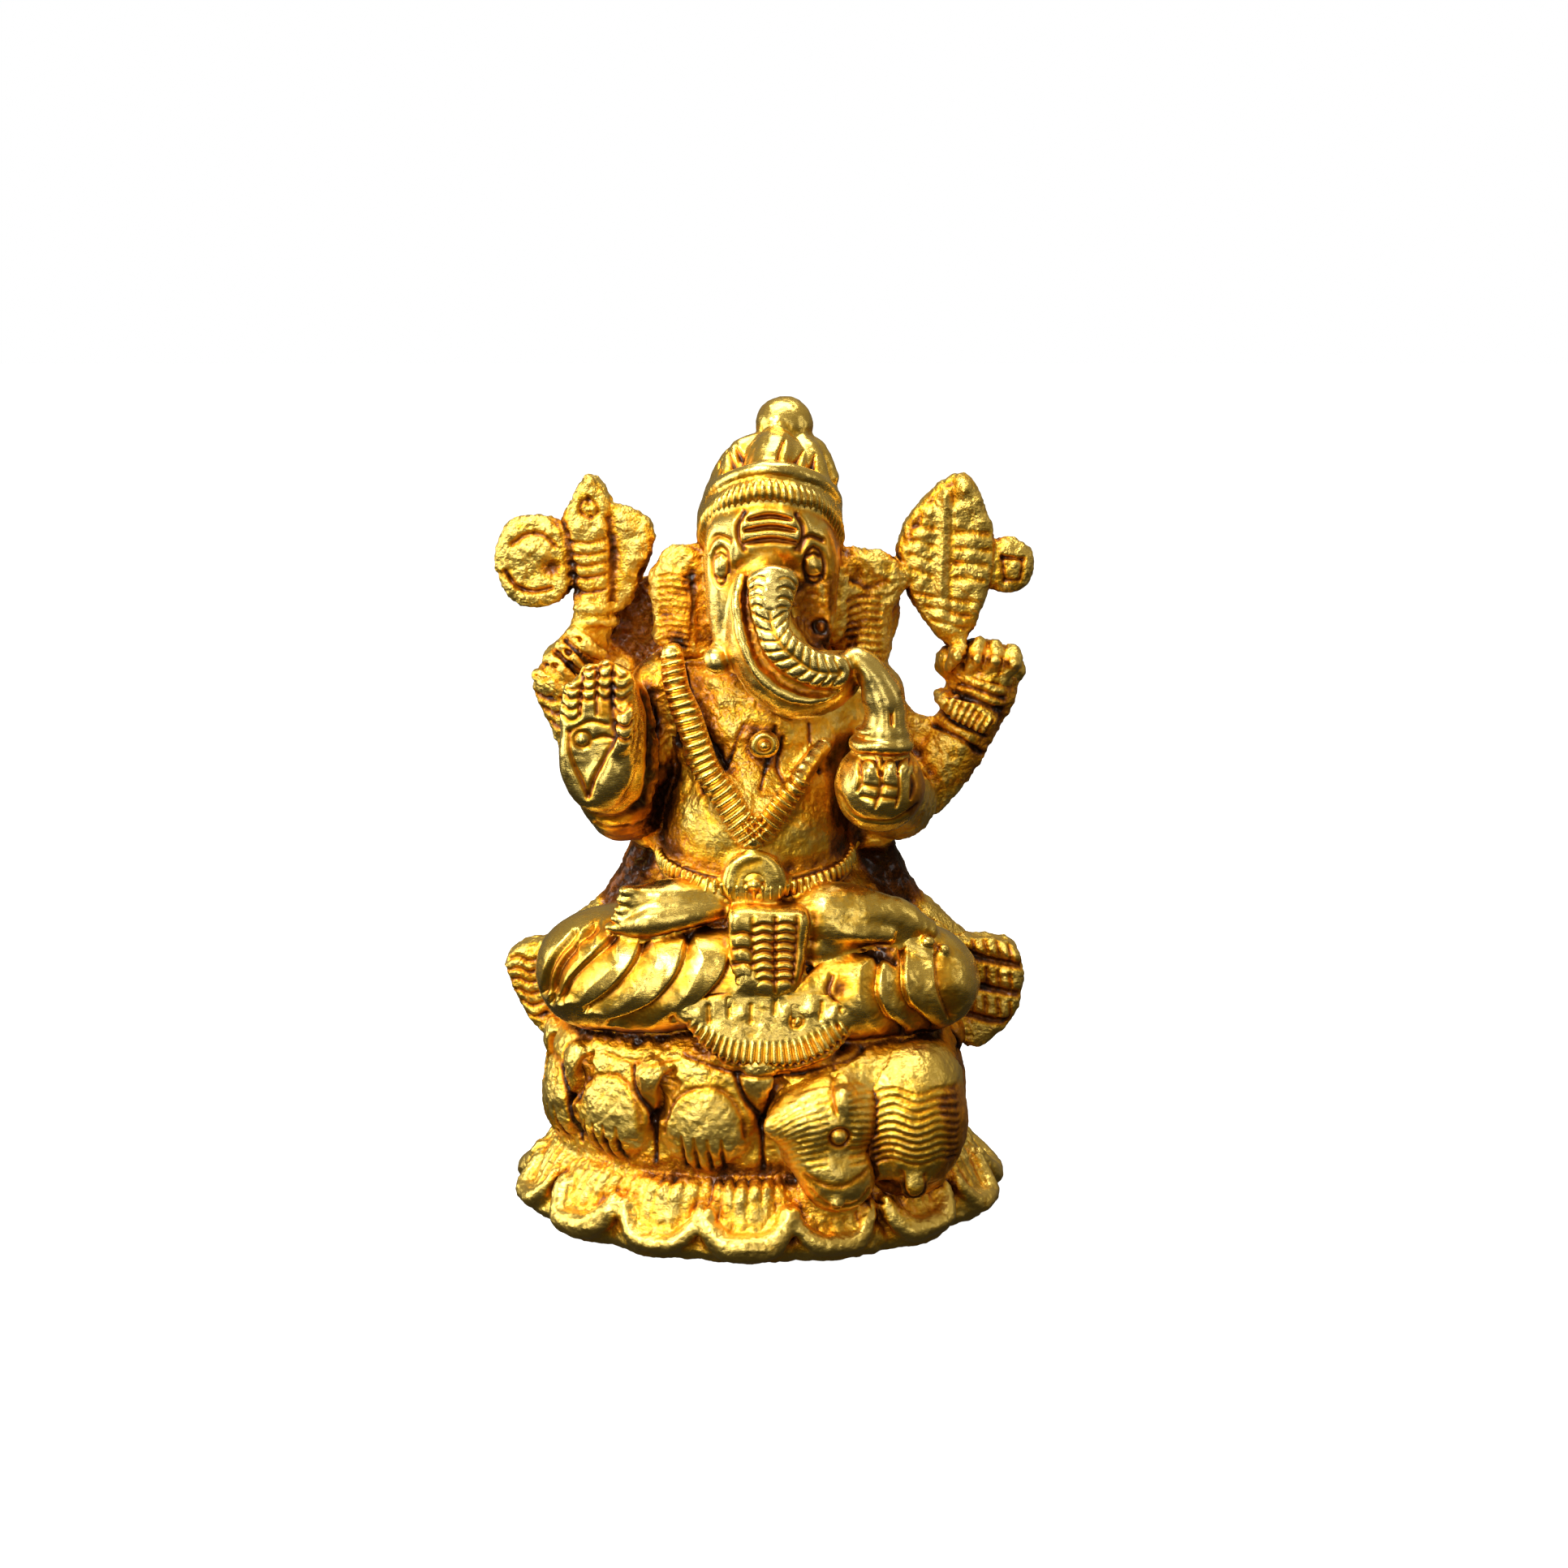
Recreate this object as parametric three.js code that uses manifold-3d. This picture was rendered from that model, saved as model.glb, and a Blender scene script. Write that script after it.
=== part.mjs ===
// A small cast-brass statuette: a four-armed, elephant-headed deity seated cross-legged on a lotus, with a mouse
// at the foot of the seat. Millimetres, +Z up, the face looks along -Y, +X is on the viewer's right.
// The origin is the middle of the underside.
//
// The metal is one casting. Each mesh is one modelled element of it, as the wax pattern is put together from
// separately rolled and pressed pieces. Where elements meet, the later one in the list is trimmed back from the
// earlier ones by GAP, so that each stays a solid of its own.
import * as THREE from "three";
import { mergeVertices } from "three/addons/utils/BufferGeometryUtils.js";
import Module from "manifold-3d";

const wasm = await Module();
wasm.setup();

// Driving dimensions
const HEIGHT = 56; // underside to the tip of the finial
const BASE_HALF_X = 17.1; // lotus base, over the petal tips
const BASE_HALF_Y = 12.5;
const SEAT_HALF_X = 14.7; // lotus seat, over the petals
const SEAT_HALF_Y = 10;
const SEAT_TOP = 13;
const SHOULDER = 37.6; // height of the shoulders
const CROWN_TILT = 0.45; // how far the crown leans back, in radians
const GAP = 0.3; // between neighbouring elements
const PETALS = 16; // petals round the base and round the seat

const brass = new THREE.MeshStandardMaterial({ color: 0xd9a637, roughness: 0.3, metalness: 1 });

// A closed geometry as a solid that can be joined and cut.
function solidOf(geometry) {
  geometry.deleteAttribute("normal");
  geometry.deleteAttribute("uv");
  const merged = mergeVertices(geometry, 1e-4);
  return new wasm.Manifold(
    new wasm.Mesh({
      numProp: 3,
      vertProperties: merged.attributes.position.array,
      triVerts: new Uint32Array(merged.index.array),
    }),
  );
}

function join(...solids) {
  return solids.reduce((sum, next) => sum.add(next));
}

// Every shape below takes `grow`, the amount by which it swells on all sides.

// An ellipsoid, turned by Euler angles in radians.
function egg(centre, radii, grow, turn = [0, 0, 0]) {
  const around = Math.max(...radii) > 3.5 ? 12 : 9;
  const geometry = new THREE.SphereGeometry(1, around, Math.round(around * 0.6));
  geometry.rotateX(Math.PI / 2);
  geometry.scale(...radii.map((r) => r + grow));
  const place = new THREE.Matrix4()
    .makeRotationFromEuler(new THREE.Euler(...turn))
    .setPosition(new THREE.Vector3(...centre));
  return solidOf(geometry.applyMatrix4(place));
}

// A closed skin over equally long rings of points, from the pole `first` to the pole `last`.
function skin(first, rings, last) {
  const count = rings[0].length;
  const faces = [];
  for (let i = 0; i < count; i += 1) {
    const next = (i + 1) % count;
    for (let r = 0; r < rings.length - 1; r += 1) {
      const a = 1 + r * count;
      const b = a + count;
      faces.push(a + i, a + next, b + next, a + i, b + next, b + i);
    }
    const top = 1 + (rings.length - 1) * count;
    faces.push(0, 1 + next, 1 + i, rings.length * count + 1, top + i, top + next);
  }
  const places = [first, ...rings.flat(), last].flatMap((point) => point.toArray());
  const geometry = new THREE.BufferGeometry();
  geometry.setAttribute("position", new THREE.BufferAttribute(new Float32Array(places), 3));
  geometry.setIndex(faces);
  return solidOf(geometry);
}

// A round-ended limb that bends smoothly through its points: [x, y, z, radius] each.
function limb(points, grow) {
  const sides = points[0][3] > 2 ? 9 : 7;
  const curve = new THREE.CatmullRomCurve3(points.map(([x, y, z]) => new THREE.Vector3(x, y, z)));
  const stations = [];
  const steps = points.length > 2 ? 2 * (points.length - 1) : 1;
  let across = new THREE.Vector3(0.3, 0.9, 0.31);
  for (let i = 0; i <= steps; i += 1) {
    const share = i / steps;
    const along = curve.getTangent(share);
    across = across.clone().addScaledVector(along, -across.dot(along)).normalize();
    const place = share * (points.length - 1);
    const whole = Math.min(Math.floor(place), points.length - 2);
    const radius = THREE.MathUtils.lerp(points[whole][3], points[whole + 1][3], place - whole) + grow;
    stations.push({ at: curve.getPoint(share), along, across, radius });
  }
  const ringAt = ({ at, along, across: side, radius }, slide) => {
    const other = new THREE.Vector3().crossVectors(along, side);
    const reach = Math.sqrt(1 - slide * slide) * radius;
    return Array.from({ length: sides }, (_, k) => {
      const angle = (k / sides) * 2 * Math.PI;
      return at
        .clone()
        .addScaledVector(along, slide * radius)
        .addScaledVector(side, Math.cos(angle) * reach)
        .addScaledVector(other, Math.sin(angle) * reach);
    });
  };
  const start = stations[0];
  const end = stations[steps];
  const rings = stations.map((station) => ringAt(station, 0));
  rings.unshift(ringAt(start, -0.7));
  rings.push(ringAt(end, 0.7));
  return skin(
    start.at.clone().addScaledVector(start.along, -start.radius),
    rings,
    end.at.clone().addScaledVector(end.along, end.radius),
  );
}

// A straight limb with a radius at each end.
function rod(from, fromRadius, to, toRadius, grow) {
  return limb([[...from, fromRadius], [...to, toRadius]], grow);
}

// A flat plate: an outline of [x, z] points, from its front face at y = front to its back at y = back.
function plate(outline, front, back, grow) {
  const shape = new THREE.Shape(outline.map(([x, z]) => new THREE.Vector2(x, z)));
  const geometry = new THREE.ExtrudeGeometry(shape, {
    depth: back - front,
    bevelEnabled: grow > 0,
    bevelSize: grow,
    bevelThickness: grow,
    bevelSegments: 1,
    steps: 1,
  });
  geometry.rotateX(Math.PI / 2);
  return solidOf(geometry.translate(0, back, 0));
}

// A disc whose axis lies along Y, tipped back by `tip` radians.
function disc(centre, radius, thickness, grow, tip = 0) {
  const geometry = new THREE.CylinderGeometry(radius + grow, radius + grow, thickness + 2 * grow, 12);
  geometry.rotateX(tip);
  return solidOf(geometry.translate(...centre));
}

// A ring round the body: half widths along X and Y, and the thickness of its cord.
function ring(centre, halfX, halfY, cord, grow, tilt = 0) {
  const geometry = new THREE.TorusGeometry(1, cord + grow, 5, 18);
  const position = geometry.attributes.position;
  for (let i = 0; i < position.count; i += 1) {
    const x = position.getX(i);
    const y = position.getY(i);
    const angle = Math.atan2(y, x);
    const out = Math.hypot(x, y) - 1;
    position.setXY(i, Math.cos(angle) * (halfX + out), Math.sin(angle) * (halfY + out));
  }
  geometry.rotateX(tilt);
  return solidOf(geometry.translate(...centre));
}

// A solid of stacked level outlines, for the base and the seat. Each level is {z, halfX, halfY, lobe}: lobe is
// how far the petals scallop that outline.
function stack(centre, levels, petals, grow) {
  const round = petals * 3;
  const last = levels.length - 1;
  const rings = levels.map(({ z, halfX, halfY, lobe }, level) => {
    const lift = level === 0 ? -grow : level === last ? grow : 0;
    return Array.from({ length: round }, (_, i) => {
      const angle = (i / round) * 2 * Math.PI;
      const scallop = lobe * (Math.abs(Math.cos((angle * petals) / 2)) - 1);
      return new THREE.Vector3(
        centre[0] + Math.cos(angle) * (halfX + grow + scallop),
        centre[1] + Math.sin(angle) * (halfY + grow + scallop),
        z + lift,
      );
    });
  });
  return skin(
    new THREE.Vector3(centre[0], centre[1], levels[0].z - grow),
    rings,
    new THREE.Vector3(centre[0], centre[1], levels[last].z + grow),
  );
}

// Head and crown

const crown_finial = (g) => egg([1.4, -0.3, HEIGHT - 1.8], [1.9, 1.8, 1.8], g);
const crown_ring = (g) => ring([0.6, -0.6, 49.6], 3.9, 4.2, 0.55, g, -CROWN_TILT * 0.8);
const crown_band = (g) => ring([0.5, -0.7, 47.9], 4.35, 4.75, 0.65, g, -CROWN_TILT);
const crown_dome = (g) =>
  join(egg([0.6, -0.2, 48.6], [4, 4.3, 4.4], g), rod([0.8, -0.2, 51], 2.7, [1.2, -0.2, 52.6], 2, g));

const trunk_strip = (g) =>
  limb(
    [
      [0.9, -6.9, 44.6, 1.5],
      [0.9, -7.6, 42.2, 1.4],
      [1.6, -8.1, 40.2, 1.4],
      [3.3, -8.4, 39.2, 1.3],
      [4.6, -8.2, 39.1, 1.2],
    ],
    g,
  );
const trunk = (g) =>
  limb(
    [
      [0.6, -4.6, 46, 2.4],
      [0.4, -6, 42.6, 2.4],
      [0.9, -6.7, 39.4, 2.4],
      [3, -6.8, 38, 2.2],
      [4.6, -6.7, 38, 1.9],
    ],
    g,
  );
const right_tusk = (g) => rod([-2.4, -3.6, 39.6], 0.9, [-2.9, -5.2, 38.8], 0.85, g);
const left_tusk = (g) => rod([3.6, -4, 42], 0.8, [4, -5.6, 41.2], 0.7, g);
const head = (g) =>
  join(
    egg([0.6, -1.6, 44.8], [4.5, 4.6, 4.9], g),
    egg([0.5, -2.8, 46.6], [3.4, 3.6, 3.1], g),
    egg([0.9, -1.4, 41], [3.9, 3.4, 3.2], g),
  );

// An ear hangs beside the head as a leaf-shaped flap. side is -1 for the deity's right ear, 1 for the left one.
function ear(side, grow) {
  const middle = 0.8;
  const outline = [
    [3.2, 45.4],
    [5.4, 46.1],
    [7.6, 45.6],
    [8.4, 44.2],
    [8, 42.2],
    [7.2, 40.6],
    [6.2, 39.1],
    [3.6, 38.6],
    [2.6, 41.8],
  ].map(([x, z]) => [middle + side * x, z]);
  return plate(side > 0 ? outline.reverse() : outline, -0.4, 2, grow);
}

// Body

const belt_buckle = (g) => disc([-0.6, -6.5, 24.9], 2.3, 1.3, g, -0.15);
const belt = (g) => ring([-0.6, -0.2, 24.3], 5.9, 5.3, 0.8, g);
const pendant = (g) => disc([0, -5, 33.2], 1, 1.4, g, 0.1);
const garland = (g) =>
  limb(
    [
      [-5, -2.6, 38.6, 0.8],
      [-4.2, -4, 34.6, 0.8],
      [-2.2, -5, 30.8, 0.8],
      [-0.3, -5.6, 28.4, 0.8],
      [2.3, -5, 31, 0.8],
      [4.6, -3.6, 35, 0.8],
    ],
    g,
  );
const torso = (g) =>
  join(
    egg([-0.5, 0.2, 27.6], [6.3, 5.6, 6], g),
    egg([-0.3, 0.8, 34.4], [6.6, 4.6, 6.2], g),
    limb([[-6.4, 1.4, SHOULDER, 2], [7, 1.4, SHOULDER, 2]], g),
    limb([[0.5, 1, 38, 3], [0.6, 0.6, 41, 3]], g),
  );

// Arms. The deity's right side is at -X.

const right_palm = (g) => egg([-10.3, -6.6, 34.2], [2.9, 1.6, 3.1], g);
const right_fingers = (g) =>
  join(
    rod([-12.2, -6.6, 36.3], 0.72, [-12, -6.6, 37.5], 0.6, g),
    rod([-11.2, -6.6, 36.6], 0.76, [-11.1, -6.6, 38.4], 0.7, g),
    rod([-9.9, -6.6, 36.6], 0.8, [-9.9, -6.6, 38.9], 0.72, g),
    rod([-8.6, -6.6, 36.4], 0.76, [-8.6, -6.6, 38.2], 0.68, g),
  );
const right_thumb = (g) => rod([-8.4, -7.6, 34.2], 0.95, [-8, -7.7, 36], 0.85, g);
const right_forearm = (g) => rod([-10.1, -5.2, 31.6], 2.3, [-9.4, -0.6, 28.6], 2.4, g);
const right_upper_arm = (g) => rod([-9.4, -0.2, 28.4], 2.4, [-7.4, 1.2, 36.8], 2.5, g);

const left_fingers = (g) =>
  join(
    ...[0, 1, 2, 3].map((i) => {
      const x = 5.6 + i * 1.35;
      return rod([x, -9.7, 33], 0.8, [x, -9.9, 30.4], 0.8, g);
    }),
  );
const left_hand = (g) => egg([7.7, -7.6, 31.3], [3, 2.5, 3.2], g);
const hand_ring = (g) => ring([7.7, -7.4, 34.4], 1.5, 1.5, 0.55, g);
const sweet = (g) => rod([7.7, -7.4, 35.4], 1.5, [7.3, -7.4, 38.2], 0.9, g);
const trunk_tip = (g) => limb([[5.5, -7.3, 39.2, 0.95], [6.3, -7.4, 39.3, 0.9]], g);
const left_forearm = (g) => rod([8, -6.2, 30.4], 2.3, [9.2, -0.6, 28.6], 2.4, g);
const left_upper_arm = (g) => rod([9.2, -0.2, 28.4], 2.4, [7.6, 1.2, 36.6], 2.4, g);

// A rear arm reaches up and outwards behind the front one, and ends in a hand whose fingers point outwards.
function rear_arm(side, grow) {
  const elbow = [side * 12.2, 2, 30.2, 2.5];
  const wrist = [side * 15.2, 1.9, 36.4, 2];
  return limb([[side * 7.6, 2.6, 31.6, 2.3], elbow, wrist], grow);
}

function rear_hand(side, grow) {
  const fingers = [0, 1, 2, 3].map((i) => {
    const x = side * (12.8 + i * 1.3);
    return rod([x, 1, 40 - i * 0.3], 0.75, [x, 0.7, 38.6 - i * 0.25], 0.8, grow);
  });
  return join(egg([side * 14.3, 1.8, 38.8], [3.4, 1.7, 2.1], grow), ...fingers);
}

const rear_bangle = (side, grow) => rod([side * 12.4, 1.7, 36.4], 1.3, [side * 15.8, 1.7, 34.6], 1.2, grow);

// The axe in the rear right hand: shaft with a spear point, and a crescent blade facing outwards.
const axe_shaft = (g) =>
  plate(
    [
      [-12.9, 40.8],
      [-13.5, 46.5],
      [-12.6, 49.2],
      [-11.6, 50.5],
      [-10.7, 49.2],
      [-9.7, 47],
      [-10, 40.8],
    ],
    0.6,
    2.9,
    g,
  );
const axe_blade = (g) =>
  plate(
    [
      [-12.9, 43.4],
      [-12.9, 46.6],
      [-15.4, 48.2],
      [-17.2, 47.4],
      [-18.1, 45.4],
      [-17.9, 43.4],
      [-16.7, 42.1],
      [-15.1, 41.9],
      [-14.6, 43.1],
    ],
    0.9,
    2.7,
    g,
  );
const axe_back = (g) =>
  plate(
    [
      [-10.4, 42.6],
      [-10.4, 47.6],
      [-8.2, 48],
      [-7.4, 46.4],
      [-7.6, 44.2],
    ],
    0.9,
    2.7,
    g,
  );

// The noose in the rear left hand, cast as a leaf-shaped bundle, with a round bud at its outer side.
const noose = (g) =>
  plate(
    [
      [10.8, 40.8],
      [9.7, 42.8],
      [9.1, 45.4],
      [10.4, 48.4],
      [13.4, 50.8],
      [15, 48.6],
      [15.3, 46],
      [14.7, 42.4],
      [14.2, 40.8],
    ],
    0.5,
    2.9,
    g,
  );
const noose_bud = (g) => disc([16.3, 1.8, 45], 1.8, 1.8, g);

// Legs, crossed, with each foot laid on the opposite thigh

const right_foot = (g) =>
  limb([[-3.6, -5, 22.6, 1.1], [-6.2, -5.2, 22.4, 1.2], [-9, -4.9, 22.1, 1.3]], g);
const left_foot = (g) =>
  limb([[3.6, -5.2, 21.6, 1.3], [6, -5.4, 21.5, 1.4], [8.4, -5, 20.8, 1.2]], g);
const waist_pleats = (g) => limb([[0.8, -6.9, 22, 1.5], [0.8, -8, 19.2, 1.5]], g);
const apron = (g) => egg([0.5, -7.6, 15.1], [6, 3.2, 1.6], g, [0.35, 0, 0]);
const right_leg = (g) =>
  join(
    limb([[-1.4, -6.4, 17.6, 2.4], [-6.6, -5.8, 17.6, 3], [-11.8, -3.6, 17.4, 3.3]], g),
    rod([-11.8, -3.6, 17.4], 3.3, [-6.4, -0.6, 19.4], 3.2, g),
  );
const left_leg = (g) =>
  join(
    limb([[2.4, -6.6, 17, 2.1], [6.4, -6, 17, 2.7], [11, -3.8, 17.1, 3.2]], g),
    rod([11, -3.8, 17.1], 3.2, [6.4, -0.6, 19], 3, g),
  );
const hips = (g) => egg([-0.5, 1, 20], [7.2, 6, 4.6], g);

// A sash falls from the waist behind each knee and ends in a pleated fan.
function sash(side, grow) {
  const outline = [
    [6.6, 24.6],
    [9.4, 24.4],
    [13.6, 19.2],
    [17.9, 17.6],
    [17.6, 14.6],
    [16.2, 11.4],
    [13.4, 12.2],
    [8, 19],
  ].map(([x, z]) => [side * x, z]);
  return plate(side > 0 ? outline.reverse() : outline, 0.4, 3.6, grow);
}

// Lotus seat and base

const lotus_seat = (g) =>
  stack(
    [-0.4, 0, 0],
    [
      { z: 3.4, halfX: 12.6, halfY: 8.4, lobe: 0.2 },
      { z: 5.4, halfX: SEAT_HALF_X - 0.5, halfY: SEAT_HALF_Y - 0.4, lobe: 0.8 },
      { z: 9.4, halfX: SEAT_HALF_X, halfY: SEAT_HALF_Y, lobe: 1 },
      { z: 12, halfX: SEAT_HALF_X - 0.2, halfY: SEAT_HALF_Y - 0.4, lobe: 0.6 },
      { z: SEAT_TOP, halfX: SEAT_HALF_X - 1.2, halfY: SEAT_HALF_Y - 1.2, lobe: 0.2 },
    ],
    PETALS,
    g,
  );
const lotus_base = (g) =>
  stack(
    [-0.2, 0, 0],
    [
      { z: 0, halfX: BASE_HALF_X - 0.4, halfY: BASE_HALF_Y - 0.4, lobe: 0.9 },
      { z: 1.4, halfX: BASE_HALF_X, halfY: BASE_HALF_Y, lobe: 1 },
      { z: 2.6, halfX: BASE_HALF_X - 1.2, halfY: BASE_HALF_Y - 1.2, lobe: 0.7 },
      { z: 3.1, halfX: 13.4, halfY: 9.2, lobe: 0.2 },
    ],
    PETALS,
    g,
  );

// The mouse crouches at the front of the seat on the viewer's right, facing left.

const mouse_ear = (g) => rod([5.6, -10.6, 11.4], 1.2, [5.8, -11, 11.8], 1.1, g);
const mouse_head = (g) => rod([5.6, -9.6, 9.4], 2.9, [2.1, -9.8, 9], 1.2, g);
const mouse_paws = (g) => egg([5.4, -11, 5.6], [2.3, 1.4, 1.3], g);
const mouse_foot = (g) => rod([10.4, -9.4, 5.6], 0.9, [10.2, -10.3, 4.6], 0.85, g);
const mouse_body = (g) => egg([10, -6.6, 8], [4.4, 4.4, 4.6], g);

// Every element in the order of trimming: an element is cut back from all those above it that it meets.
const elements = {
  crown_finial,
  crown_ring,
  crown_band,
  trunk_strip,
  sweet,
  hand_ring,
  trunk_tip,
  trunk,
  right_tusk,
  left_tusk,
  head,
  crown_dome,
  right_ear: (g) => ear(-1, g),
  left_ear: (g) => ear(1, g),
  belt_buckle,
  belt,
  pendant,
  garland,
  right_thumb,
  right_fingers,
  right_palm,
  left_fingers,
  left_hand,
  torso,
  right_forearm,
  left_forearm,
  right_upper_arm,
  left_upper_arm,
  right_rear_bangle: (g) => rear_bangle(-1, g),
  left_rear_bangle: (g) => rear_bangle(1, g),
  right_rear_hand: (g) => rear_hand(-1, g),
  left_rear_hand: (g) => rear_hand(1, g),
  right_rear_arm: (g) => rear_arm(-1, g),
  left_rear_arm: (g) => rear_arm(1, g),
  axe_shaft,
  axe_blade,
  axe_back,
  noose,
  noose_bud,
  right_foot,
  left_foot,
  waist_pleats,
  apron,
  right_leg,
  left_leg,
  hips,
  right_sash: (g) => sash(-1, g),
  left_sash: (g) => sash(1, g),
  mouse_ear,
  mouse_head,
  mouse_paws,
  mouse_foot,
  mouse_body,
  lotus_seat,
  lotus_base,
};

// The largest of the bodies that trimming leaves.
function largest(solid) {
  const bodies = solid.decompose();
  return bodies.reduce((best, next) => (next.volume() > best.volume() ? next : best));
}

function meet(a, b) {
  const first = a.boundingBox();
  const second = b.boundingBox();
  return [0, 1, 2].every((k) => first.min[k] < second.max[k] && second.min[k] < first.max[k]);
}

function meshOf(name, solid) {
  const made = solid.getMesh();
  const geometry = new THREE.BufferGeometry();
  geometry.setAttribute("position", new THREE.BufferAttribute(new Float32Array(made.vertProperties), 3));
  geometry.setIndex(new THREE.BufferAttribute(new Uint32Array(made.triVerts), 1));
  geometry.computeVertexNormals();
  const mesh = new THREE.Mesh(geometry, brass);
  mesh.name = name;
  return mesh;
}

const statue = new THREE.Group();
const above = [];
for (const [name, element] of Object.entries(elements)) {
  let solid = element(0);
  for (const swollen of above) {
    if (meet(solid, swollen)) solid = solid.subtract(swollen);
  }
  statue.add(meshOf(name, largest(solid)));
  above.push(element(GAP));
}

export default statue;
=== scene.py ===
"""The looks of a small cast-brass statuette: an elephant-headed deity on a lotus, with a mouse at its foot.

The statuette is sculpted as clay on a lattice. Every piece is a distance field, in millimetres of the CAD
frame, and the pieces flow into each other where they meet, as wax elements do before they are cast. Then each
piece is skinned, chased with its lines, ribs and punch marks, and given its patina and its painted shade.

x runs towards the deity's left hand, -y is its front and z is up. A point of two numbers is (x, z), as seen
from the front. "right" and "left" in names are the deity's own.
"""

import math

import bpy
import numpy as np
import openvdb
from mathutils import Euler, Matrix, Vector


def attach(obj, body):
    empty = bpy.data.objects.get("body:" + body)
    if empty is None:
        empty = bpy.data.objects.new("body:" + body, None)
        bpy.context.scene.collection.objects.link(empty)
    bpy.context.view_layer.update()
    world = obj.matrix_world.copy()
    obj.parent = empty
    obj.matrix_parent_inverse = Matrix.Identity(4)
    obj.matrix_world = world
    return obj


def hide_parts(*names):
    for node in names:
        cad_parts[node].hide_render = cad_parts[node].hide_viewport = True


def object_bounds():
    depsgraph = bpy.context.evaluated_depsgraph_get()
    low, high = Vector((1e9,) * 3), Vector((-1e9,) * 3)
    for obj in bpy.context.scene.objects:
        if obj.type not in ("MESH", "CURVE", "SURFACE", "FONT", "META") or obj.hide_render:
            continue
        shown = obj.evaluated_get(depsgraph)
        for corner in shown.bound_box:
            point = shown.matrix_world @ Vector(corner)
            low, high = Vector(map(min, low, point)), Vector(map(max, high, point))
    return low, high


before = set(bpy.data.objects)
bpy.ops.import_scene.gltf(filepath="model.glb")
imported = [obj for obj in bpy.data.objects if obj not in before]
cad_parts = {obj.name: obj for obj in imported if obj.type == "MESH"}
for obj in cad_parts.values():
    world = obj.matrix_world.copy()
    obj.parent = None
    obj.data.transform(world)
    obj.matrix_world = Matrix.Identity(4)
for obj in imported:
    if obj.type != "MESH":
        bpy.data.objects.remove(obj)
CAD_LOW, CAD_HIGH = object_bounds()

HEIGHT = 56.0  # the sculpt below is drawn in millimetres of a statuette this high
MM = (CAD_HIGH.z - CAD_LOW.z) / HEIGHT
ORIGIN = np.array([0.0, 0.0, CAD_LOW.z])

STEP = 0.2  # spacing of the lattice
REACH = 2.0  # how far round a shape its distances are worked out
FAR = 9.0  # the distance given to everything beyond that
OVERLAP = 0.25  # how deep a piece runs on inside its neighbour
BAND = 3.0  # how many lattice steps on each side of a skin are kept when it is meshed
SMALLEST_ISLAND = 200  # loose scraps of skin with fewer points than this are dropped

MARGIN = 2.5  # how far the lattice runs on past the CAD box
LATTICE_LOW = np.array(CAD_LOW) / MM - MARGIN
LATTICE_COUNT = np.ceil((np.array(CAD_HIGH) / MM + MARGIN - LATTICE_LOW) / STEP).astype(int)

# the material slots
BURNISHED = "burnished_brass"
ROUGH_CAST = "rough_cast_brass"
SATIN = "base_brass"


# ---------------------------------------------------------------- shapes


class Shape:
    """A distance function of x, y and z, with the box that holds the shape."""

    def __init__(self, distance, low, high):
        self.distance = distance
        self.low = np.array(low, float)
        self.high = np.array(high, float)


def smooth_min(a, b, soft):
    near = np.maximum(soft - np.abs(a - b), 0) / soft
    return np.minimum(a, b) - near * near * soft / 4


def smooth_max(a, b, soft):
    return -smooth_min(-a, -b, soft)


def smoothstep(low, high, value):
    share = np.clip((value - low) / (high - low), 0, 1)
    return share * share * (3 - 2 * share)


def curve(points, closed=False, steps=4):
    """A smooth line through the points, each a tuple of the same length."""
    points = np.array(points, float)
    count = len(points)

    def point(i):
        return points[i % count] if closed else points[min(max(i, 0), count - 1)]

    made = []
    for i in range(count if closed else count - 1):
        a, b, c, d = point(i - 1), point(i), point(i + 1), point(i + 2)
        for t in np.arange(steps) / steps:
            slope = (c - a) * t
            bend = (2 * a - 5 * b + 4 * c - d) * t**2
            twist = (3 * b - a - 3 * c + d) * t**3
            made.append(0.5 * (2 * b + slope + bend + twist))
    if not closed:
        made.append(points[-1])
    return np.array(made)


def oval(x, z, half_x, half_z, count):
    """Points round an ellipse seen from the front, an eighth of a turn apart."""
    turns = [k * math.pi / 4 for k in range(count)]
    return [(x + half_x * math.sin(turn), z + half_z * math.cos(turn)) for turn in turns]


def egg(centre, radii, turn=(0, 0, 0)):
    """An ellipsoid, turned by Euler angles in degrees."""
    axes = np.array(Euler([math.radians(a) for a in turn]).to_matrix())
    reach = np.sqrt(((axes * np.array(radii)) ** 2).sum(1))

    def distance(x, y, z):
        u, v, w = x - centre[0], y - centre[1], z - centre[2]
        parts = [u * axes[0, k] + v * axes[1, k] + w * axes[2, k] for k in range(3)]
        near = np.sqrt(sum((p / r) ** 2 for p, r in zip(parts, radii)))
        slope = np.sqrt(sum((p / r**2) ** 2 for p, r in zip(parts, radii)))
        return near * (near - 1) / (slope + 1e-6)

    return Shape(distance, np.array(centre) - reach, np.array(centre) + reach)


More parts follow.
